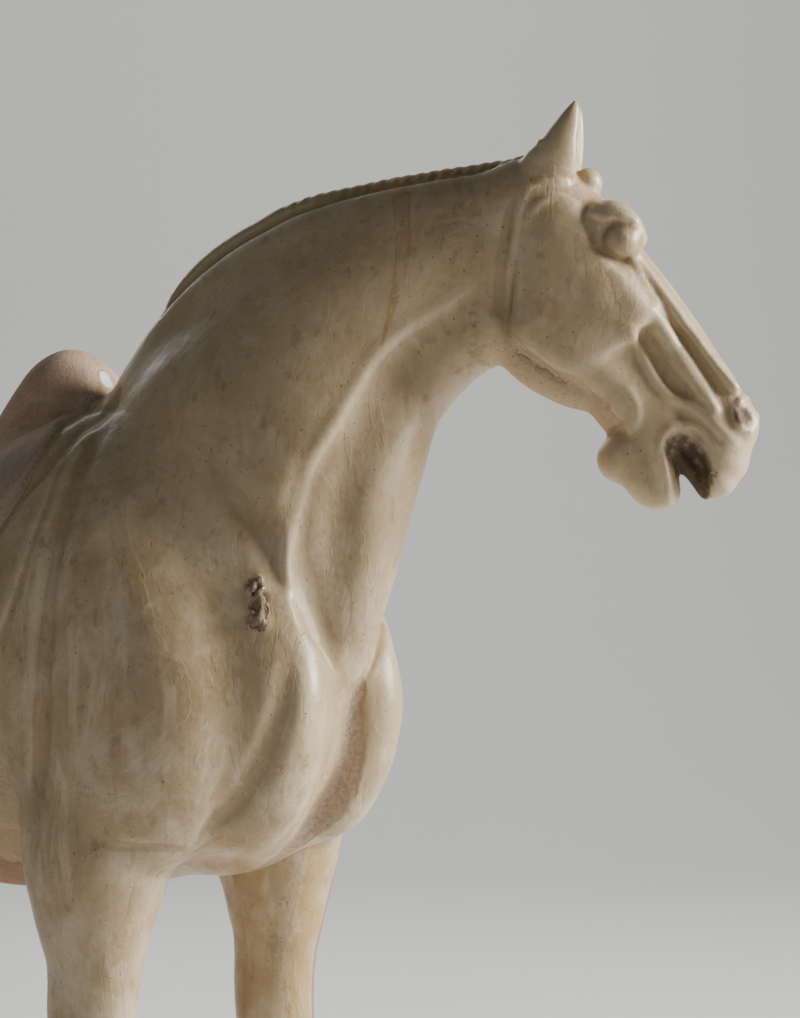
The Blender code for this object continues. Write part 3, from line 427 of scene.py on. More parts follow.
def model_neck(clay):
    limb(clay, NECK_CORE, 26, steps=8)
    limb(clay, [(x, y, z, r, 0.93 * r) for x, y, z, r in NECK_CREST], 28)
    limb(clay, [(x, y, z, r, 0.96 * r) for x, y, z, r in THROAT], 10)


def model_foreleg(clay, side):
    foot, stout, apart = FOOT_FORWARD[side], LEG_SHARES[side], FOREFEET_APART / 2
    limb(clay, [(foot + dx, side * (apart + dy), z, stout * a, stout * b) for dx, dy, z, a, b in (
        (-4, -8, 330, 43, 36), (0, -2, 291, 42, 36), (0, 0, 268, 36, 31.5), (0, 0, 250, 31.5, 27.5),
        (0, 0, 234, 27.4, 24), (-1, 0, 218, 25.4, 22.2), (-2, 0, 200, 24.8, 21.7),
        (-1, 0, 180, 24.2, 21.7), (1, 0, 158, 24, 22), (0, 0, 138, 18, 17), (0, 0, 100, 14.5, 13),
        (1, 0, 64, 15, 13.5), (3, 0, 48, 18.5, 17), (8, 0, 32, 16, 15))], 5, steps=8)
    model_hoof(clay, (foot + HOOF_AHEAD, side * apart))


def model_hindleg(clay, side):
    apart = HINDFEET_APART / 2
    limb(clay, [(HIND_FOOT + dx, side * (apart + dy), z, a, b) for dx, dy, z, a, b in (
        (0, -4, 366, 70, 40), (22, 2, 312, 52, 36), (12, 4, 262, 36, 28),
        (-12, 3, 218, 25, 20), (-29, 1, 186, 22, 17), (-24, 0, 150, 17, 14.5),
        (-18, 0, 104, 14.5, 13), (-13, 0, 64, 15, 13.5), (-10, 0, 48, 18.5, 17),
        (-4, 0, 32, 16, 15))], 16, steps=8)
    # Point of the hock
    ball(clay, (HIND_FOOT - 43, side * (apart + 1), 196), (13, 11, 17), 12)
    model_hoof(clay, (HIND_FOOT, side * apart))


def model_hoof(clay, place):
    x, y = place
    a, b = HOOF_RADII
    limb(clay, ((x - 3, y, 22, 0.8 * a, 0.8 * b), (x, y, 3, 0.97 * a, 0.97 * b), (x, y, -8, a, b)),
         3, steps=2)


def model_tail(clay):
    """A short tail, bound up and hanging close behind the rump."""
    limb(clay, ((-262, 0, 466, 17, 16), (-284, 0, 457, 17, 16), (-300, 0, 434, 15, 16),
                (-305, 0, 404, 14, 15), (-300, 0, 374, 13, 14), (-290, 0, 350, 9, 9)), 6)
    for z in (432, 418, 404):
        line(clay, ((-298, -18, z + 4), (-324, 0, z), (-298, 18, z + 4)), 2.6, -2.4)


# Ridges and grooves on both sides: width, height and stations, given for the right side of the neck
NECK_LINES = (
    # The hollow beside the windpipe, steep on the side of the muscle that edges it
    (12.5, -12, ((327, 17, 564, 0.1), (318, 2, 542, 0.4), (314, -13, 518, 0.7), (305, -24, 487, 1),
                 (298, -24, 456, 1), (291, -22, 432, 0.6), (288, -18, 414, 0.1))),
    (7.5, -7, ((306, -24, 505, 0.2), (299, -27, 484, 0.8), (295, -28, 460, 1), (290, -26, 435, 1.1),
               (286, -20, 411, 1.1), (284, -15, 397, 0.4))),
    (4.2, 4, ((342, 32, 590, 0.2), (327, 17, 574, 0.4), (313, 0, 558, 0.6), (307, -15, 537, 0.8),
              (302, -25, 518, 1), (296, -34, 499, 1), (291, -37, 477, 1), (287, -36, 451, 1),
              (285, -32.5, 430, 0.8), (284, -27, 413, 0.2))))
# The same for the left side of the body
BODY_LINES = (
    # Crease between the shoulder and the neck
    (8, -4.5, ((218, 48, 516, 0.1), (234, 49, 495, 0.4), (250, 47, 474, 0.8), (262, 42, 459, 1),
               (270, 38, 444, 0.7), (276, 35, 430, 0.3))),
    # Crease between the breast's lobe and the upper arm
    (6, -5.5, ((283, 46, 394, 0.1), (282, 47, 385, 0.5), (281, 49, 371, 0.8), (276, 50, 356, 1),
               (267, 50, 338, 1.1), (257, 53, 321, 1), (246, 57, 309, 0.6), (236, 64, 301, 0.2))),
    # Where the upper arm overhangs the leg
    (3.5, -2.4, ((192, 100, 299, 0.1), (204, 92, 296, 0.6), (214, 85, 296, 1), (222, 78, 295, 1),
                 (228, 68, 293, 0.4))))


def carve_body(clay):
    """The grooves that part breast, upper arms, neck and windpipe."""
    line(clay, ((284, 8, 372, 0.5), (282, 9, 358, 1), (279, 10, 345, 1), (273, 10, 329, 1),
                (261, 8, 308, 0.9), (244, 5, 289, 0.6), (206, 0, 268, 0.2)), 5.5, -6.5)
    # A scar from the kiln, at the foot of the neck
    line(clay, ((263, -50, 431, 0.5), (264, -49, 422, 1), (266, -48, 412, 0.8)), 3.6, 2)
    for side in (RIGHT, LEFT):
        for width, height, stations in NECK_LINES:
            line(clay, across_neck(stations, side), width, height)
        for width, height, stations in BODY_LINES:
            line(clay, mirrored(stations, side), width, height)
    # Where each lobe of the breast meets the windpipe
    line(clay, ((270, -40, 438, 0.1), (276, -35, 426, 0.7), (281, -29, 414, 1), (283, -22, 404, 0.7),
                (284, -16, 395, 0.3), (285, -10, 386, 0.1)), 4, -4.5)
    line(clay, ((268, 48, 440, 0.2), (274, 45, 428, 0.6), (279, 39, 415, 1), (283, 28, 400, 1),
                (285, 20, 391, 1), (285, 12, 379, 0.7), (283, 8, 371, 0.3)), 2.4, -2.8)


def outline_distance(a, b, corners, rounding):
    """Signed distance in a plane to a closed outline given by its rounded corners' centres."""
    corners = np.array(corners, float)
    shape = np.broadcast(a, b).shape
    square, inside = np.full(shape, 1e12), np.zeros(shape, bool)
    for p, q in zip(corners, np.roll(corners, -1, axis=0)):
        run = q - p
        t = np.clip(((a - p[0]) * run[0] + (b - p[1]) * run[1]) / (run @ run), 0, 1)
        square = np.minimum(square, (a - p[0] - t * run[0]) ** 2 + (b - p[1] - t * run[1]) ** 2)
        if run[1]:
            crossing = ((p[1] > b) != (q[1] > b)) & (a < p[0] + run[0] * (b - p[1]) / run[1])
            inside ^= crossing
    return np.where(inside, -1, 1) * np.sqrt(square) - rounding


def plate(clay, corners, rounding, half, dome, edge, blend, frame):
    """A plate with a rounded outline in the frame's first and third axes, domed on both faces."""
    corners = np.array(corners, float)
    middle = corners.mean(axis=0)
    reach = np.abs(corners - middle).max() + rounding + half + blend + 2 * clay.cell + WINDOW_MARGIN
    place = frame.point((middle[0], 0, middle[1]))
    window = clay.window(place - reach, place + reach)
    x, y, z = (g - o for g, o in zip(clay.places(window), frame.origin))
    u, w, v = (x * axis[0] + y * axis[1] + z * axis[2] for axis in frame.axes)
    flat = outline_distance(u, v, corners, rounding)
    crown = dome * (1 - (1 - np.clip(-flat / (1.5 * rounding), 0, 1)) ** 2)
    form = -soft_min(-flat, -(np.abs(w) - half - crown), edge)
    clay.join(window, form.astype(np.float32), blend)


# Edges of the cloths seen from the side, from the withers round by the lower edge to the loins
BLANKET = ((100, 600), (112, 552), (130, 534), (148, 514), (160, 488), (165, 440), (161, 390), (154, 342),
           (148, 310), (134, 291), (100, 285), (20, 281), (-60, 284), (-104, 300), (-120, 350),
           (-124, 440), (-116, 600))
PAD = ((100, 600), (108, 552), (124, 530), (140, 512), (147, 490), (148, 466), (142, 428), (126, 394),
       (96, 370), (50, 358), (0, 355), (-50, 361), (-92, 382), (-114, 420), (-118, 480), (-112, 600))
COVER = ((98, 600), (104, 552), (113, 534), (124, 520), (130, 504), (128, 484), (118, 462),
         (98, 434), (68, 406), (20, 391), (-20, 392), (-60, 412), (-84, 448), (-92, 500), (-90, 600))
# Folds pressed in along the cover's and the blanket's front edges, on the left
COVER_FOLD = ((136, 14, 541, 0.1), (138, 30, 536, 0.4), (140, 48, 526, 0.9), (140, 68, 512, 1),
              (135, 82, 493, 1), (124, 94, 472, 1), (106, 100, 446, 0.7), (84, 104, 420, 0.3))
BLANKET_FOLD = ((150, 44, 521, 0.1), (156, 62, 509, 0.5), (160, 80, 486, 1), (163, 95, 460, 1),
                (165, 104, 430, 1), (165, 107, 392, 0.9), (162, 104, 352, 0.8), (156, 100, 324, 0.5))


def model_saddle(clay):
    """Blanket, pad and covered saddle: skins of growing thickness over the horse's back."""
    window = clay.window((-150, -130, 300), (185, 130, 585))
    skin = clay.piece(window)
    x, y, z = skin.everywhere()
    flats = [outline_distance(x, z, smooth_path(edge_line, 3), 0)
             for edge_line in (BLANKET, PAD, COVER)]
    saddle = clay.piece(window)
    rise = np.clip((z - 405) / 90, 0, 1)
    saddle.field -= (2.5 + 5.5 * rise * rise * (3 - 2 * rise)).astype(np.float32)
    ball(saddle, (82, 0, 513), (31, 42, 50), 10)
    ball(saddle, (70, 0, 488), (38, 50, 50), 14)
    ball(saddle, (-64, 0, 503), (27, 58, 48), 18)
    limb(saddle, ((60, 0, 486, 18, 46), (5, 0, 484, 18, 46), (-60, 0, 492, 22, 46)), 10)
    flare = 3 * np.clip((360 - z) / 60, 0, 1) ** 2
    thinned = np.clip((570 - z) / 60, 0, 1)
    for flat, form, edge in ((flats[0], skin.field - 2.6 * thinned - flare, 5),
                             (flats[1], skin.field - 4.2 * thinned, 2.5), (flats[2], saddle.field, 3)):
        clay.join(window, -soft_min(-flat, -form, edge).astype(np.float32), 1.5)
    for side in (RIGHT, LEFT):
        line(clay, mirrored(COVER_FOLD, side), 5, -4.5)
        line(clay, mirrored(BLANKET_FOLD, side), 5.5, -4)


def model_head(clay):
    head = head_frame()
    # Skull and nose
    limb(clay, ((8, 0, -22, 29, 24), (35, 0, -16, 27, 24), (60, 0, -15, 25.5, 21), (90, 0, -15, 26, 16),
                (120, 0, -14, 23.5, 14.5), (148, 0, -13, 20.5, 14.5), (160, 0, -13, 18, 15)), 10, head)
    # Lower part of the face
    limb(clay, ((80, 0, -36, 20, 19), (105, 0, -36, 20, 18), (128, 0, -36, 18, 17),
                (146, 0, -36, 14, 16)), 6, head)
    # Cheeks: one rounded plate that stands out on both sides
    plate(clay, ((24, -18), (84, -21.5), (80, -49), (59, -57), (26, -30)), 14, 23.5, 4, 4, 3, head)
    for side in (RIGHT, LEFT):
        # The cheekbone, running on down the nose
        limb(clay, mirrored(((70, 15, -10, 9, 7), (82, 16, -11, 8.5, 7), (92, 14.5, -9, 6, 5),
                             (106, 12.5, -8, 3.5, 3.5)), side), 6, head)
        # Jaw and the edge of the nose, as bars on each side
        limb(clay, mirrored(((60, 17, -59, 13, 9), (78, 16, -54, 12.5, 9), (94, 14, -48, 12, 9),
                             (108, 12, -44, 11.5, 9), (120, 11, -44, 11, 8.5), (132, 9, -45, 11, 8),
                             (147, 8, -50, 9.5, 8), (160, 7, -55, 9, 8), (169, 6, -59, 8, 8)),
                            side), 5, head)
        limb(clay, mirrored(((60, 12.5, 4, 4, 4), (90, 11, 4, 3.5, 3.5), (120, 9.5, 4.5, 3.3, 3.3),
                             (149, 9, 4.5, 3, 3)), side), 3, head)
    # Flesh between the jaws
    limb(clay, ((44, 0, -76, 10, 14), (60, 0, -75, 12, 14), (78, 0, -71.5, 12, 13), (95, 0, -63, 12, 12),
                (108, 0, -55, 11, 11), (124, 0, -53, 11, 10)), 4, head)
    # Chin, lower lip and muzzle
    ball(clay, (142.5, 0, -65.5), (13, 14, 13.5), 5, head)
    limb(clay, ((143, 0, -58, 14, 15), (159, 0, -59.5, 14.5, 15), (168, 0, -60, 11, 14)), 4, head)
    ball(clay, (162, 0, -12), (17.5, 16, 18), 4, head)
    ball(clay, (172, 0, -23), (17, 15.5, 15.5), 5, head)
    ball(clay, (180, 0, -31), (11.5, 14, 10.5), 3, head)
    carve_mouth(clay, head)
    carve_face(clay, head)
    model_ears(clay, head)


def carve_mouth(clay, head):
    """Open lips round a sunken mouth, with teeth and tongue left standing in the middle."""
    limb(clay, ((150, 0, -36, 9, 9), (160, 0, -38, 8.5, 8), (171, 0, -38, 6.5, 7),
                (183, 0, -39, 5.5, 6)), 3, head)
    for side in (RIGHT, LEFT):
        limb(clay, mirrored(((157, 20, -37.5, 7.5, 7.5), (165, 20, -37, 8, 8), (173, 20, -39.5, 7, 8.5),
                             (184, 19, -46, 5, 8)), side), 2.5, head, cut=True)
        limb(clay, mirrored(((160, 17, -36, 5, 12), (166, 17, -35.5, 6, 13), (174, 17, -37, 5.5, 13),
                             (184, 17, -42.5, 4.2, 13), (192, 17, -47, 4, 13)), side), 2, head, cut=True)
        line(clay, mirrored(((177, 11, -59.5, 0.6), (169, 14, -54, 1), (160, 15, -49.5, 1),
                             (151, 15.5, -45.5, 1), (146.4, 16, -40, 1), (146, 16, -32, 1),
                             (151, 15, -25.2, 1), (158.6, 15, -22.5, 0.9), (168, 15, -22.8, 0.5)),
                            side), 1.5, 2, head, side=side)


def carve_face(clay, head):
    for side in (RIGHT, LEFT):
        def score(width, height, *stations, steps=4, side=side):
            line(clay, mirrored(stations, side), width, height, head, steps, side)

        # Brow, eye and lid
        ball(clay, (42, 14.5 * side, 7), (13, 10, 11), 9, head)
        limb(clay, mirrored(((31, 19, 3.5, 3, 4), (37, 20.5, 8.5, 4.5, 5), (45, 20.5, 13.5, 4.5, 5),
                             (53, 16, 13.5, 3.5, 4)), side), 6, head)
        ball(clay, (51, 18.5 * side, 4.5), (9.8, 9.4, 9.4), 3, head)
        score(1.7, 1.5, (29, 23, -0.5, 0.4), (34, 25, 3, 1), (39, 26, 8, 1), (44, 26, 13.5, 1),
              (49, 22, 16.5, 0.6))
        u, w, v = EYE
        score(1.5, -1.5, *((u + EYE_RADIUS * math.cos(t), w, v + EYE_RADIUS * math.sin(t), 1)
                           for t in np.radians(np.linspace(115, 335, 9))), steps=2)
        score(3.4, -1.8, (33, 23, -5, 0.5), (39, 23, -6, 1), (47, 23, -7.5, 0.9), (54, 22, -7, 0.5),
              (60, 20, -3, 0.2))
        # Ridges and hollows along the nose
        score(2.2, 1.8, (62, 19, 3, 0.6), (81, 17, 0, 1), (92, 16, -0.6, 1), (102, 15, -0.5, 0.3))
        score(1.5, -1.2, (66, 16, 5.5, 0.5), (79, 15, 2.6, 1), (98, 13, 2.6, 0.6))
        score(3, -2.8, (93, 14, 0.2, 0.3), (108, 13, -0.3, 0.7), (122, 13, -0.8, 1), (136, 13, -2, 1),
              (148, 13, -4.5, 1), (157, 14, -7, 1), (163, 15, -8.5, 0.5))
        score(4, 3.2, (91, 16, -5, 0.6), (102, 15, -6.5, 1), (114, 15, -8, 1), (124, 14, -9.2, 1),
              (138, 13, -10, 1), (151, 13, -10, 0.7))
        score(2.8, 2.2, (88, 14, 4, 0.3), (100, 13, 3.4, 1), (115, 12.5, 3.3, 1), (129, 12.3, 3.1, 1),
              (147, 11.7, 4.6, 0.8))
        score(1.3, -1.2, (104, 11, 6.6, 0.6), (125, 10, 6.9, 1), (146, 9.5, 7.2, 0.6))
        score(3.8, -4, (97, 17, -17, 0.6), (107, 16, -18, 1), (119, 15, -19.4, 1), (129, 15, -18.8, 1),
              (135, 14, -17.4, 0.6))
        score(2.8, 2.6, (92, 19, -20.5, 0.5), (107, 17, -23.5, 1), (121, 16, -25.7, 1), (132, 15, -25, 1),
              (141, 15, -20, 1), (152, 15, -16.5, 1), (163, 16, -14.8, 0.8), (172, 15, -13, 0.4))
        score(7.0, -1.4, (102, 17, -30, 0.4), (110, 17, -33, 1), (122, 16, -34, 0.6))
        # Fold over the cheek
        score(2.2, 1.6, (14, 24, -32, 0.3), (9.5, 24, -20, 1), (12, 24, -9, 1), (21, 24, -3, 0.5))
        # Rim of the cheek and the crease behind it
        line(clay, mirrored(((-2, 23, -19, 0.4), (8, 25, -31.3, 1), (16.7, 24.5, -41.5, 1),
                             (28.5, 22, -53.6, 1), (39.6, 19.5, -63.6, 0.9), (52, 18.4, -72.3, 0.5)),
                            side), 2.0, 1.8, head)
        line(clay, mirrored(((0, 23, -30, 0.3), (8, 23, -40, 1), (19, 22, -51, 1), (31, 20, -62, 1),
                             (42, 19, -71, 0.6)), side), 2.4, -1.6, head)
        # Crease behind the lips
        score(2.2, 1.8, (116, 16, -40, 0.5), (125, 15, -42, 1), (130, 15, -45.5, 1), (134, 14, -52.5, 0.6))
        # Nostril: a ring with a sunk middle
        ring = [(164.5 + 9.5 * math.cos(t) * 0.867 + 5 * math.sin(t) * 0.5, 14 * side,
                 1.2 - 9.5 * math.cos(t) * 0.5 + 5 * math.sin(t) * 0.867)
                for t in np.linspace(0, 2 * math.pi, 13)]
        line(clay, ring, 1.7, 1.8, head, steps=2, side=side)
        ball(clay, (164.5, 15.5 * side, 1.5), (7, 5, 3.6), 2, head, cut=True)


def model_ears(clay, head):
    for side in (RIGHT, LEFT):
        limb(clay, mirrored(((-4, 13, -4, 14, 9), (-6, 13.5, 4, 12.5, 8), (-13, 13, 15, 8.5, 6),
                             (-19, 12.5, 23.5, 4.8, 4), (-23, 12, 28.5, 1.8, 1.8)), side), 4, head)
        limb(clay, mirrored(((5, 15.5, 12, 2.4, 3), (-4, 16, 18, 2.6, 3), (-11, 15, 24, 1.8, 2),
                             (-17, 13.5, 28, 0.8, 0.8)), side), 2, head, cut=True)
    # Forelock, bound into a knob
    ball(clay, (13.5, 0, 9.5), (7.8, 8.5, 7), 3, head)


def model_mane(clay):
    """A clipped mane: a low roll with a seam on each side and slanting notches toward the ears."""
    path = smooth_path(MANE, 4)[:, :3]
    limb(clay, [(x, y, z, r, 0.95 * r) for x, y, z, r in MANE], 1.5)
    runs = np.gradient(path, axis=0)
    runs /= np.linalg.norm(runs, axis=1, keepdims=True)
    across = np.cross((0, 0, 1), runs)
    across /= np.linalg.norm(across, axis=1, keepdims=True)
    rises = np.cross(runs, across)
    lengths = np.concatenate([[0], np.cumsum(np.linalg.norm(np.diff(path, axis=0), axis=1))])
    for side in (RIGHT, LEFT):
        line(clay, path[5:] + 9 * side * across[5:] + rises[5:], 1.8, -1.8, steps=1)
    for share in np.linspace(0.46, 0.975, MANE_NOTCHES):
        place = share * lengths[-1]
        middle, run, aside, rise = (np.array([np.interp(place, lengths, row[:, i]) for i in range(3)])
                                    for row in (path, runs, across, rises))
        line(clay, [middle + s * 9 * aside + (10 - 4 * abs(s)) * rise - 5 * abs(s) * run
                    for s in (-1, -0.5, 0, 0.5, 1)], 1.8, -1.7 * share)


def model_horse(cell):
    """The whole figure above the slab, as clay."""
    low, high = np.array((-345, -135, -22)), np.array((500, 175, 705))
    clay = Clay(low, np.ceil((high - low) / cell).astype(int) + 1, cell)
    model_trunk(clay)
    model_neck(clay)
    model_saddle(clay)
    model_tail(clay)
    for side in (RIGHT, LEFT):
        model_foreleg(clay, side)
        model_hindleg(clay, side)
    model_head(clay)
    carve_body(clay)
    model_mane(clay)
    # Flat under the hooves, inside the slab
    np.maximum(clay.field, -HOOF_SINK - clay.axes[2], out=clay.field)
    return clay


def skin_of(clay):
    """The block's surface as points and outward quads: one point in each cell that it crosses."""
    inside = clay.field < 0
    counts = np.array(inside.shape) - 1
    corners = list(np.ndindex(2, 2, 2))
    total = sum(inside[tuple(slice(c, c + n) for c, n in zip(corner, counts))].astype(np.int8)
                for corner in corners)
    crossed = (total > 0) & (total < 8)
    number = np.full(counts, -1)
    number[crossed] = np.arange(crossed.sum())
    cells = np.argwhere(crossed)
    values = {corner: clay.field[tuple((cells + corner).T)] for corner in corners}
    summed, hits = np.zeros((len(cells), 3)), np.zeros(len(cells))
    for a in corners:
        for axis in range(3):
            if a[axis]:
                continue
            b = tuple(1 if i == axis else c for i, c in enumerate(a))
            fa, fb = values[a], values[b]
            hit = (fa < 0) != (fb < 0)
            t = np.where(hit, fa / np.where(hit, fa - fb, 1), 0)
            place = np.array(a) + t[:, None] * (np.array(b) - np.array(a))
            summed += place * hit[:, None]
            hits += hit
    points = clay.low + clay.cell * (cells + summed / hits[:, None])
    quads = []
    for axis in range(3):
        second, third = (axis + 1) % 3, (axis + 2) % 3
        start = [slice(1, n) for n in inside.shape]
        start[axis] = slice(0, counts[axis])
        ahead = list(start)
        ahead[axis] = slice(1, counts[axis] + 1)
        before, after = inside[tuple(start)], inside[tuple(ahead)]
        for leaving in (True, False):
            edges = np.argwhere((before & ~after) if leaving else (~before & after))
            edges += [0 if i == axis else 1 for i in range(3)]
            around = []
            for step in ((-1, -1), (0, -1), (0, 0), (-1, 0)):
                shift = np.zeros(3, int)
                shift[second], shift[third] = step
                around.append(number[tuple((edges + shift).T)])
            quads.append(np.stack(around if leaving else around[::-1], axis=1))
    return points, np.vstack(quads)


def mesh_of(name, points, faces):
    mesh = bpy.data.meshes.new(name)
    mesh.vertices.add(len(points))
    mesh.vertices.foreach_set("co", points.astype(np.float32).ravel())
    mesh.loops.add(faces.size)
    mesh.loops.foreach_set("vertex_index", faces.astype(np.int32).ravel())
    mesh.polygons.add(len(faces))
    mesh.polygons.foreach_set("loop_start", np.arange(0, faces.size, 4, dtype=np.int32))
    mesh.update(calc_edges=True)
    mesh.validate()
    return mesh


# Fine relief, in figure units: grooves and ridges too small for the solid
EAR_WRINKLES = (((-0.5, 21.8, -2.2), (2.1, 20.8, 0.4), (5, 18.9, 3.3), (7.2, 15.8, 5.4)),
                ((3.8, 20.9, -4.2), (6.5, 19.6, -2.3), (9.3, 17.5, 0)),
                ((-0.8, 23.4, -18.4), (0.5, 22.7, -14.1), (2, 21.9, -9.4), (5.1, 21.5, -7.1),
                 (7.3, 19.8, -3.6)))
TOOTH_RIDGES = (((150, 11, -29), (159, 8, -31), (169, 7, -34)),
                ((152, 11, -33), (161, 8, -36), (170, 7, -39)),
                ((155, 11, -38), (163, 8, -41), (171, 7, -43)))

# Colour regions, in figure units
MOUTH = ((157, 14, -37.5, 8.2), (165, 14, -37, 9.0), (173, 14, -39.5, 9.0), (184, 14, -46, 7.5),
         (182, 6, -46, 7.5), (172, 6, -40, 9.5), (158, 6, -37.5, 9.0))
EYE, EYE_RADIUS = (51, 18.5, 4.5), 10.4
NOSTRIL, NOSTRIL_RADIUS = (164.5, 14.5, 1.5), 7.0
RUNS = (((297, 30, 640, 5.2), (310, 13, 609, 4.0), (312, 4, 582, 2.2), (312, 0, 558, 0.8)),
        ((322, 47, 651, 3.2), (333, 35, 631, 1.2)),
        ((298, 74, 640, 4.0), (290, 88, 606, 2.6), (286, 92, 574, 0.8)),
        ((250, 50, 622, 4.4), (240, 62, 586, 2.8), (238, 64, 552, 0.8)),
        ((210, 24, 606, 2.8), (202, 44, 566, 0.9)))
STREAK = ((246, -43, 517, 0.8), (248, -45, 507, 1.4), (250, -46, 496, 0.5))
CHANNEL = ((284, 10, 386, 1.5), (282, 10, 370, 4.5), (279, 11, 351, 6.0), (273, 12, 331, 6.5),
           (262, 11, 311, 7.5), (247, 8, 296, 8.5), (232, 4, 285, 8.0), (206, 0, 272, 5.0))
SCAR = ((262, -50, 434, 2.6), (265, -51, 428, 4.2), (267, -52, 420, 4.6), (267, -53, 413, 3.6))
SPLASH, SPLASH_RADIUS = (105, 4, 545), 5.5
# Upright bands on the forelegs: side, turn round the leg in degrees, half width, foot and top
BARE_STRIPES = ((LEFT, 21.0, 3.0, 30, 290), (RIGHT, -152.0, 3.0, 60, 250))
GOLD_BAND = (LEFT, -12.0, 7.0, 150, 292)
LEG_RADIUS, LEG_REACH = 60, 48
AMBER_FROM = 262              # x on the mane
# Under the jaw, in the head's frame
JAW_LINE = ((20, 57, 78, 102, 130, 150), (-70, -73, -68, -57, -54.5, -70))
JAW_ENDS, JAW_HALF, JAW_FACING = (30, 128), 30, 0.15
BELLY_ENDS, BELLY_HEIGHTS, BELLY_FACING = (-150, 135), (200, 330), 0.72
FACING_LENGTH = {"jaw": 20, "belly": 40}      # units that stand for a whole turn of the surface
SLAB_HALVES = (239, 116)


def add_slab(clay, thickness, edge):
    """The low slab, with its edges rounded, run together with the hooves."""
    x, y, z = clay.everywhere()
    middle, half = -thickness / 2, thickness / 2
    far = [np.abs(a) - (size - edge) for a, size in ((x, SLAB_HALVES[0]), (y, SLAB_HALVES[1]),
                                                     (z - middle, half))]
    flat = np.sqrt(sum(np.maximum(f, 0) ** 2 for f in far))
    form = flat + np.minimum(np.maximum(np.maximum(far[0], far[1]), far[2]), 0) - edge
    clay.field = soft_min(clay.field, form.astype(np.float32), 2.5)


def add_fine_relief(clay):
    head = head_frame()
    for side in (RIGHT, LEFT):
        for wrinkle in EAR_WRINKLES:
            line(clay, mirrored(wrinkle, side), 1.4, 1.6, head, side=side)
        for ridge in TOOTH_RIDGES:
            line(clay, mirrored(ridge, side), 1.5, 0.8, head, side=side)
    # Crumbs and pits of the kiln scar, and a crumb on the near ear's back edge
    random = np.random.default_rng(5)
    places = clay.settle(smooth_path(SCAR, 18)[:, :3] + random.uniform(-3.6, 3.6, (55, 3)))
    for i, place in enumerate(places):
        size = random.uniform(1.1, 2.2)
        ball(clay, place, (size, size, 1.6 * size), 0.5, cut=i % 2 == 1)
    ball(clay, (-17, -17, 1.2), (2.0, 1.6, 1.8), 0.8, head)


def add_waves(clay):
    """The slight unevenness of a body pressed and smoothed by hand."""
    x, y, z = clay.everywhere()
    waves = (np.sin(x / 11 + 1.3 * np.sin(z / 17)) * np.sin(y / 9 + 0.7)
             * np.sin(z / 13 + np.sin(x / 19))
             + 0.6 * np.sin(x / 5.3 + 2) * np.sin(y / 6.1) * np.sin(z / 5.7 + np.sin(y / 11)))
    above = np.clip((z - 4) / 12, 0, 1)
    clay.field += (WAVE_HEIGHT * waves * above).astype(np.float32)


def laid_reach(clay, points, rows):
    """The same as path_reach, for a path that is first laid onto the surface."""
    rows = np.array(rows, float)
    rows[:, :3] = clay.settle(rows[:, :3])
    return path_reach(points, rows)


def path_reach(points, rows):
    """How far inside a band each point lies: rows of place and half width."""
    rows = smooth_path(rows, 3)
    best = np.full(len(points), -FAR)
    for p, q in zip(rows, rows[1:]):
        run = q[:3] - p[:3]
        t = np.clip(((points - p[:3]) @ run) / max(run @ run, 1e-9), 0, 1)
        gap = np.linalg.norm(points - p[:3] - t[:, None] * run, axis=1)
        best = np.maximum(best, p[3] + t * (q[3] - p[3]) - gap)
    return best


def turn_reach(points, side, turn, half, low, high):
    """How far inside an upright stripe on a foreleg each point lies."""
    x, y, z = points.T
    dx, dy = x - FOOT_FORWARD[side], y - side * FOREFEET_APART / 2
    radius = np.hypot(dx, dy)
    angle = np.degrees(np.arctan2(dy, dx)) - turn
    angle = (angle + 180) % 360 - 180
    across = half - np.abs(np.radians(angle)) * np.minimum(radius, LEG_RADIUS)
    return np.minimum(np.minimum(across, z - low), np.minimum(high - z, LEG_REACH - radius))


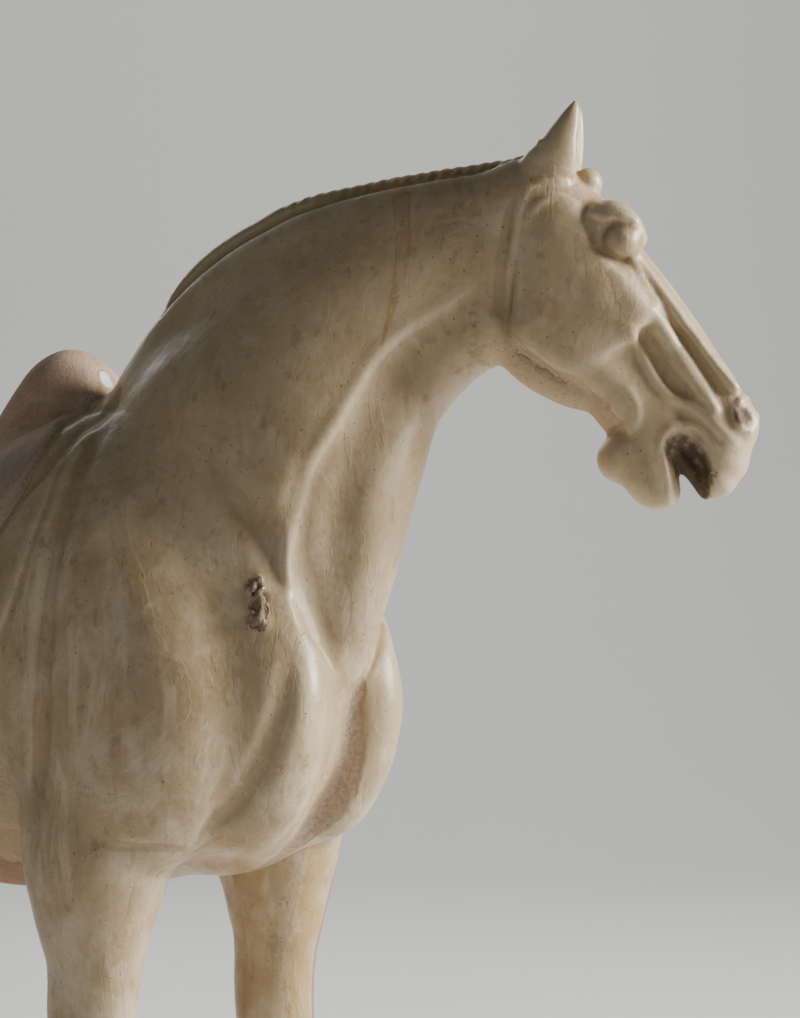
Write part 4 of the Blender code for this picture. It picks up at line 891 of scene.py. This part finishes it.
def region_values(clay, points, normals):
    """Smooth values at the points, in figure units, positive inside each colour region."""
    x, y, z = points.T
    head = head_frame()
    u, w, v = ((points - head.origin) @ axis for axis in head.axes)
    core = smooth_path([(a, b, c, r + 1.5) for a, b, c, r in MANE], 3)
    mane = -np.min([np.linalg.norm(points - row[:3], axis=1) - row[3] for row in core], axis=0)
    under = np.interp(u, *JAW_LINE) - v
    facing = FACING_LENGTH["jaw"] * (-(normals @ head.axes[2]) - JAW_FACING)
    jaw = np.minimum(np.minimum(under, facing), np.minimum(u - JAW_ENDS[0], JAW_ENDS[1] - u))
    facing = FACING_LENGTH["belly"] * (-normals[:, 2] - BELLY_FACING)
    belly = np.minimum(facing, np.minimum(BELLY_ENDS[1] - x, x - BELLY_ENDS[0]))
    bend = sum(clay.sample(points + step) + clay.sample(points - step) for step in CURVE_STEP * np.eye(3))

    def round_place(place, radius, scale=1):
        return radius - np.linalg.norm((points - place) * scale, axis=1)

    def on_both_sides(reach):
        return np.maximum(reach(RIGHT), reach(LEFT))

    return {
        "cover": -outline_distance(x, z, smooth_path(COVER, 3), 0),
        "mane": mane,
        "amber": np.where(mane > -6, x - AMBER_FROM, -FAR),
        "runs": np.max([laid_reach(clay, points, rows) for rows in RUNS], axis=0),
        "streak": laid_reach(clay, points, STREAK),
        "channel": laid_reach(clay, points, CHANNEL),
        "scar": laid_reach(clay, points, SCAR),
        "stripes": np.max([turn_reach(points, *stripe) for stripe in BARE_STRIPES], axis=0),
        "gold": turn_reach(points, *GOLD_BAND),
        "jaw": np.where(np.abs(w) < JAW_HALF, jaw, -FAR),
        "mouth": on_both_sides(lambda side: np.maximum(
            path_reach(points, head.points(mirrored(MOUTH, side))),
            round_place(head.point(mirrored(NOSTRIL, side)), NOSTRIL_RADIUS))),
        "eye": on_both_sides(lambda side: round_place(head.point(mirrored(EYE, side)), EYE_RADIUS)),
        "belly": np.where((z > BELLY_HEIGHTS[0]) & (z < BELLY_HEIGHTS[1]), belly, -FAR),
        "splash": round_place(clay.settle([SPLASH])[0], SPLASH_RADIUS, (1, 1, 0.8)),
        "bend": (bend - 6 * clay.sample(points)) / CURVE_STEP,
        "height": z}


def make_horse(low, high):
    """The detailed horse as one mesh, inside the CAD part's box."""
    unit = (high.x - low.x) / FIGURE_LONG
    thickness, edge = SLAB_THICKNESS / unit, SLAB_EDGE / unit
    clay = model_horse(FINE_CELL)
    add_fine_relief(clay)
    add_waves(clay)
    add_slab(clay, thickness, edge)
    points, quads = skin_of(clay)
    mesh = mesh_of("pottery_horse", points, quads)
    horse = bpy.data.objects.new("pottery_horse", mesh)
    bpy.context.scene.collection.objects.link(horse)
    thin = horse.modifiers.new("Facets", "DECIMATE")
    thin.ratio = min(1, FINE_FACETS / (2 * len(quads)))
    graph = bpy.context.evaluated_depsgraph_get()
    horse.data = bpy.data.meshes.new_from_object(horse.evaluated_get(graph))
    horse.modifiers.clear()
    mesh = horse.data
    points = np.empty(3 * len(mesh.vertices), np.float32)
    mesh.vertices.foreach_get("co", points)
    points = points.reshape(-1, 3).astype(float)
    normals = clay.slope(points)
    normals /= np.maximum(np.linalg.norm(normals, axis=1, keepdims=True), 1e-9)
    for name, values in region_values(clay, points, normals).items():
        layer = mesh.attributes.new(name, "FLOAT", "POINT")
        layer.data.foreach_set("value", values.astype(np.float32))
    world = points * unit + np.array((0, 0, SLAB_THICKNESS))
    world = np.clip(world, np.array(low), np.array(high))
    mesh.vertices.foreach_set("co", world.astype(np.float32).ravel())
    mesh.shade_smooth()
    mesh.update()
    mesh.normals_split_custom_set_from_vertices(normals.tolist())
    return horse


class Nodes:
    """Short ways to add shader nodes to one material."""

    def __init__(self, name):
        self.material = bpy.data.materials.new(name)
        self.material.use_nodes = True
        self.tree = self.material.node_tree
        self.shader = self.tree.nodes["Principled BSDF"]
        self.place = self.add("ShaderNodeTexCoord").outputs["Object"]

    def add(self, kind, **settings):
        node = self.tree.nodes.new(kind)
        for key, value in settings.items():
            setattr(node, key, value)
        return node

    def put(self, socket, value):
        if isinstance(value, bpy.types.NodeSocket):
            self.tree.links.new(value, socket)
        else:
            socket.default_value = value

    def math(self, operation, a, b=0.0, clamp=False):
        node = self.add("ShaderNodeMath", operation=operation, use_clamp=clamp)
        self.put(node.inputs[0], a)
        self.put(node.inputs[1], b)
        return node.outputs[0]

    def times(self, a, b, clamp=False):
        return self.math("MULTIPLY", a, b, clamp)

    def total(self, *weighted):
        """The sum of values, each times its weight."""
        parts = [self.times(value, weight) for value, weight in weighted]
        total = parts[0]
        for part in parts[1:]:
            total = self.math("ADD", total, part)
        return total

    def distance(self, value, centre):
        return self.math("ABSOLUTE", self.math("SUBTRACT", value, centre))

    def value(self, name):
        return self.add("ShaderNodeAttribute", attribute_name=name).outputs["Fac"]

    def noise(self, scale, detail=4.0, roughness=0.55, stretch=None, distortion=0.0):
        node = self.add("ShaderNodeTexNoise")
        self.put(node.inputs["Vector"], self.stretched(stretch))
        node.inputs["Scale"].default_value = scale
        node.inputs["Detail"].default_value = detail
        node.inputs["Roughness"].default_value = roughness
        node.inputs["Distortion"].default_value = distortion
        return node.outputs["Fac"]

    def cells(self, scale):
        """Distance to the nearest of some scattered dots, and a chance value for each dot."""
        node = self.add("ShaderNodeTexVoronoi")
        self.put(node.inputs["Vector"], self.place)
        node.inputs["Scale"].default_value = scale
        parted = self.add("ShaderNodeSeparateColor")
        self.put(parted.inputs[0], node.outputs["Color"])
        return node.outputs["Distance"], parted.outputs[0]

    def stretched(self, stretch):
        if stretch is None:
            return self.place
        node = self.add("ShaderNodeMapping")
        self.put(node.inputs["Vector"], self.place)
        node.inputs["Scale"].default_value = stretch
        return node.outputs["Vector"]

    def step(self, value, low, high):
        """0 below low, 1 above high, and smooth between; low may be the larger."""
        node = self.add("ShaderNodeMapRange", interpolation_type="SMOOTHSTEP")
        self.put(node.inputs["Value"], value)
        flipped = low > high
        node.inputs["From Min"].default_value = min(low, high)
        node.inputs["From Max"].default_value = max(low, high)
        node.inputs["To Min"].default_value = 1.0 if flipped else 0.0
        node.inputs["To Max"].default_value = 0.0 if flipped else 1.0
        return node.outputs["Result"]

    def mix(self, share, a, b):
        node = self.add("ShaderNodeMix", data_type="RGBA")
        self.put(node.inputs[0], share)
        self.put(node.inputs[6], a)
        self.put(node.inputs[7], b)
        return node.outputs[2]

    def layers(self, colour, coats):
        """Colours laid over one another, each by the product of its shares."""
        for over, share, *others in coats:
            for other in others:
                share = self.times(share, other)
            colour = self.mix(share, colour, over)
        return colour

    def blend(self, share, a, b):
        node = self.add("ShaderNodeMix", data_type="FLOAT")
        self.put(node.inputs[0], share)
        self.put(node.inputs[2], a)
        self.put(node.inputs[3], b)
        return node.outputs[0]

    def largest(self, *values):
        total = values[0]
        for value in values[1:]:
            total = self.math("MAXIMUM", total, value)
        return total

    def region(self, name, ragged, amount, soft=0.6):
        """A region's share, with its edge broken up by noise of that many figure units."""
        shift = self.times(self.math("SUBTRACT", ragged, 0.5), amount)
        return self.step(self.math("ADD", self.value(name), shift), -soft, soft)


def glazed_clay():
    n = Nodes("straw_glaze")
    broad = n.noise(7.0, 3.0, 0.5)
    cloudy = n.noise(24.0, 4.0, 0.6, distortion=0.6)
    blotchy = n.noise(70.0, 3.0, 0.6)
    fine = n.noise(320.0, 2.0, 0.6)
    dimpled = n.noise(170.0, 2.0, 0.5)
    grain = n.noise(900.0, 2.0, 0.7)
    stain = n.noise(12.0, 4.0, 0.6, distortion=0.8)
    smudge = n.noise(60.0, 3.0, 0.7)
    chip = n.noise(33.0, 4.0, 0.65)
    falling = n.noise(1.0, 3.0, 0.6, stretch=(85, 85, 9))
    hair = n.noise(1.0, 2.0, 0.7, stretch=(420, 420, 14))
    spot = n.noise(1.0, 4.0, 0.6, stretch=(150, 150, 75), distortion=0.4)
    trickle = n.noise(1.0, 5.0, 0.65, stretch=(70, 70, 16), distortion=0.5)
    coat = n.noise(1.0, 5.0, 0.62, stretch=(17, 17, 8), distortion=1.2)
    near_dot, dot_kind = n.cells(170.0)
    near_pit, pit_kind = n.cells(420.0)

    bend, height = n.value("bend"), n.value("height")
    hollow = n.step(bend, -0.04, -0.34)
    crest = n.step(bend, 0.06, 0.34)
    lower = n.step(height, 500.0, 400.0)
    # Darker in the hollows: painted shade, with some glaze pooled there
    hollow_pool_and_shade = n.times(hollow, n.step(cloudy, 0.15, 0.62))

    # Glaze: ivory where thin, straw where thicker, greener brown where it pooled, darker in the
    # hollows as painted shade, and last the edges where one coat ran over another
    colour = n.layers(STRAW, (
        (IVORY, n.step(cloudy, 0.40, 0.68), n.blend(lower, 0.45, 1.0)),
        (OLIVE, n.step(broad, 0.48, 0.72), 0.45),
        (BUFF_STAIN, n.step(falling, 0.52, 0.74), n.blend(lower, 0.20, 0.50)),
        (BUFF_STAIN, n.step(hair, 0.55, 0.75), n.blend(lower, 0.12, 0.34)),
        (BUFF_STAIN, n.step(blotchy, 0.52, 0.74), 0.40),
        (POOLED, n.step(spot, 0.56, 0.68), 0.34),
        (IVORY, crest, 0.35),
        (IVORY, n.step(trickle, 0.52, 0.66), n.blend(lower, 0.10, 0.75)),
        # Painted shade in the hollows, partly pooled glaze
        (POOLED, hollow_pool_and_shade, 0.32),
        (BUFF_STAIN, n.step(fine, 0.42, 0.72), 0.22),
        (IVORY, n.step(dimpled, 0.50, 0.74), 0.20),
        (POOLED, n.step(n.distance(coat, COAT_LEVEL), 0.005, 0.0), n.step(broad, 0.40, 0.6), 0.45),
        (POOLED, n.step(coat, COAT_LEVEL, 0.60), 0.14)))

    # Olive brown on the mane, amber toward the ears and in its runs, and gold on a foreleg
    brown = n.mix(n.step(cloudy, 0.35, 0.65), OLIVE, BUFF_STAIN)
    amber = n.mix(n.step(blotchy, 0.35, 0.6), AMBER, DARK_AMBER)
    brown = n.mix(n.region("amber", blotchy, 60.0, 22.0), brown, amber)
    run = n.value("runs")
    running = n.largest(n.times(n.step(run, -0.6, 0.6), 0.32),
                        n.times(n.step(n.distance(run, 0.5), 1.1, 0.1), 0.55))
    # Painted shade: dark in the mouth and nostrils, and on and round the eyes
    sunk = n.times(n.region("mouth", fine, 3.0, 1.8), n.blend(n.step(dimpled, 0.50, 0.68), 0.96, 0.70))
    eye = n.value("eye")
    # Painted shade on the eyeball and in the groove round it
    eye_shade = n.largest(n.times(n.step(n.distance(eye, 0.0), 1.8, 0.2), 0.5),
                       n.times(n.step(eye, -0.5, 1.5), 0.30))
    # Pinholes and specks
    dotted = n.times(n.step(near_dot, 0.12, 0.05), n.step(dot_kind, 0.86, 0.90))
    pitted = n.times(n.step(near_pit, 0.22, 0.12), n.step(pit_kind, 0.90, 0.94))
    specks = n.math("ADD", dotted, pitted, clamp=True)
    colour = n.layers(colour, (
        (brown, n.region("mane", blotchy, 3.0, 1.2), 0.55),
        (AMBER, running, n.step(falling, 0.30, 0.5)),
        (RED_CLAY, n.region("streak", fine, 1.6, 1.2), 0.40),
        (GOLD, n.region("gold", blotchy, 30.0, 2.5), 0.62),
        # Painted shade in the mouth and nostrils, and on and round the eyes
        (CAVE_SHADE, sunk), (POOLED, eye_shade), (SPECK, specks, 0.7)))

    # Bare clay
    cover = n.region("cover", blotchy, 5.0)
    channel = n.region("channel", blotchy, 9.0, 2.0)
    stripes = n.region("stripes", falling, 4.0)
    jaw = n.region("jaw", blotchy, 14.0, 1.5)
    belly = n.region("belly", cloudy, 20.0, 1.5)
    scar = n.region("scar", dimpled, 10.0, 0.8)
    splash = n.region("splash", blotchy, 4.0, 0.8)
    base = n.step(n.math("ADD", height, n.times(n.math("SUBTRACT", blotchy, 0.5), 26.0)), 3.0, 1.0)
    chips = n.times(n.step(chip, 0.69, 0.705), crest)
    speckled = n.step(fine, 0.35, 0.65)
    clay = n.layers(n.mix(n.step(blotchy, 0.3, 0.7), PINK_CLAY, BUFF_CLAY), (
        (GREY_CLAY, n.step(cloudy, 0.45, 0.7), 0.35),
        (GREY_CLAY, cover, n.step(stain, 0.46, 0.62), 0.6),
        (BROWN_CLAY, n.step(smudge, 0.58, 0.66), 0.45),
        (n.mix(speckled, BUFF_CLAY, CHANNEL_CLAY), channel, 0.9),
        (n.mix(speckled, SCAR_CLAY, BROWN_CLAY), scar),
        (RED_CLAY, n.largest(stripes, n.times(belly, 0.6)), 0.85),
        (n.mix(n.step(blotchy, 0.42, 0.72), JAW_CLAY, BUFF_CLAY), jaw),
        (SPECK, n.step(grain, 0.52, 0.66), 0.35),
        (SPECK, specks, 0.8)))
    bare = n.largest(cover, channel, stripes, n.times(jaw, 0.9), belly, scar, base, chips)
    bare = n.times(bare, n.math("SUBTRACT", 1.0, splash))
    rim = n.times(n.times(bare, n.math("SUBTRACT", 1.0, bare)), 2.2, clamp=True)
    colour = n.layers(colour, ((WHITE_GLAZE, splash), (clay, bare),
                               (POOLED, rim, n.blend(channel, 0.6, 0.25))))
    n.put(n.shader.inputs["Base Color"], colour)

    # Shine: wet-looking glaze, dulled by wear, in the hollows and in the mouth and nostrils, over matt
    # clay
    shine = n.blend(n.step(blotchy, 0.35, 0.70), 0.34, 0.50)
    shine = n.blend(n.times(n.step(falling, 0.5, 0.8), 0.5), shine, 0.58)
    shine = n.blend(n.largest(n.times(hollow_pool_and_shade, 0.6), sunk), shine, 0.75)
    n.put(n.shader.inputs["Roughness"], n.blend(bare, shine, 0.88))
    n.put(n.shader.inputs["IOR"], GLAZE_IOR)
    n.put(n.shader.inputs["Coat Weight"], n.blend(n.largest(bare, sunk), 0.14, 0.0))
    n.put(n.shader.inputs["Coat Roughness"], 0.18)

    # Height: dimpled glaze with pinholes and hairlines, and pitted, grainy clay set below it
    lift = n.total((blotchy, 0.42), (dimpled, 0.30), (fine, 0.12), (falling, 0.14),
                   (n.step(hair, 0.60, 0.72), -0.06), (pitted, -0.20), (dotted, -0.30),
                   (n.step(coat, 0.555, 0.575), 0.10))
    rough = n.total((grain, 0.22), (fine, 0.30), (n.step(near_pit, 0.30, 0.10), -0.20))
    bump = n.add("ShaderNodeBump")
    n.put(bump.inputs["Strength"], 0.9)
    n.put(bump.inputs["Distance"], BUMP_DISTANCE)
    n.put(bump.inputs["Height"], n.blend(bare, lift, n.math("SUBTRACT", rough, 0.35)))
    n.put(n.shader.inputs["Normal"], bump.outputs["Normal"])
    return n.material


def plain_surface(name, colour, roughness):
    material = bpy.data.materials.new(name)
    material.use_nodes = True
    shader = material.node_tree.nodes["Principled BSDF"]
    shader.inputs["Base Color"].default_value = colour
    shader.inputs["Roughness"].default_value = roughness
    return material


def make_stage():
    """A pale floor that curves up into a backdrop far behind."""
    rise = [(FLOOR_BACK + FLOOR_BEND * math.sin(t), FLOOR_BEND * (1 - math.cos(t)))
            for t in np.linspace(0, math.pi / 2, 17)]
    profile = [(-FLOOR_FRONT, 0.0), *rise, (FLOOR_BACK + FLOOR_BEND, FLOOR_RISE)]
    away = np.array((-math.sin(VIEW_AZIMUTH), math.cos(VIEW_AZIMUTH)))
    across = np.array((math.cos(VIEW_AZIMUTH), math.sin(VIEW_AZIMUTH)))
    points = []
    for far, up in profile:
        for side in (-FLOOR_HALF, FLOOR_HALF):
            x, y = far * away + side * across
            points.append((x, y, up))
    faces = [(2 * i, 2 * i + 1, 2 * i + 3, 2 * i + 2) for i in range(len(profile) - 1)]
    mesh = bpy.data.meshes.new("floor")
    mesh.from_pydata(points, [], faces)
    mesh.shade_smooth()
    mesh.materials.append(plain_surface("pale_floor", FLOOR_COLOUR, FLOOR_ROUGHNESS))
    floor = bpy.data.objects.new("floor", mesh)
    bpy.context.scene.collection.objects.link(floor)


def area_light(name, place, target, size, power, colour=(1, 1, 1)):
    light = bpy.data.lights.new(name, "AREA")
    light.shape = "DISK"
    light.size = size
    light.energy = power
    light.color = colour
    lamp = bpy.data.objects.new(name, light)
    lamp.location = place
    lamp.rotation_euler = (Vector(target) - Vector(place)).to_track_quat("-Z", "Y").to_euler()
    bpy.context.scene.collection.objects.link(lamp)


def make_lights():
    area_light("key", KEY_PLACE, KEY_AIM, KEY_SIZE, KEY_POWER, KEY_COLOUR)
    area_light("fill", FILL_PLACE, FIGURE_AIM, FILL_SIZE, FILL_POWER)
    area_light("back", BACK_PLACE, FIGURE_AIM, BACK_SIZE, BACK_POWER)
    area_light("wall", WALL_PLACE, WALL_AIM, WALL_SIZE, WALL_POWER)
    world = bpy.data.worlds.new("studio")
    world.use_nodes = True
    background = world.node_tree.nodes["Background"]
    background.inputs["Color"].default_value = WORLD_COLOUR
    background.inputs["Strength"].default_value = WORLD_STRENGTH
    bpy.context.scene.world = world


def make_camera():
    """The photograph's own viewpoint: level, from the horse's front right."""
    camera = bpy.data.cameras.new("camera")
    camera.sensor_width = SENSOR_WIDTH
    camera.lens = FOCAL_LENGTH
    target = Vector(VIEW_TARGET)
    eye = bpy.data.objects.new("camera", camera)
    eye.location = target + VIEW_DISTANCE * Vector((math.sin(VIEW_AZIMUTH), -math.cos(VIEW_AZIMUTH), 0))
    eye.rotation_euler = (target - eye.location).to_track_quat("-Z", "Y").to_euler()
    bpy.context.scene.collection.objects.link(eye)
    bpy.context.scene.camera = eye


low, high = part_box("horse")
horse = make_horse(low, high)
horse.data.materials.clear()
horse.data.materials.append(glazed_clay())
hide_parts("horse")
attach(horse, "root")
make_stage()
make_lights()
make_camera()
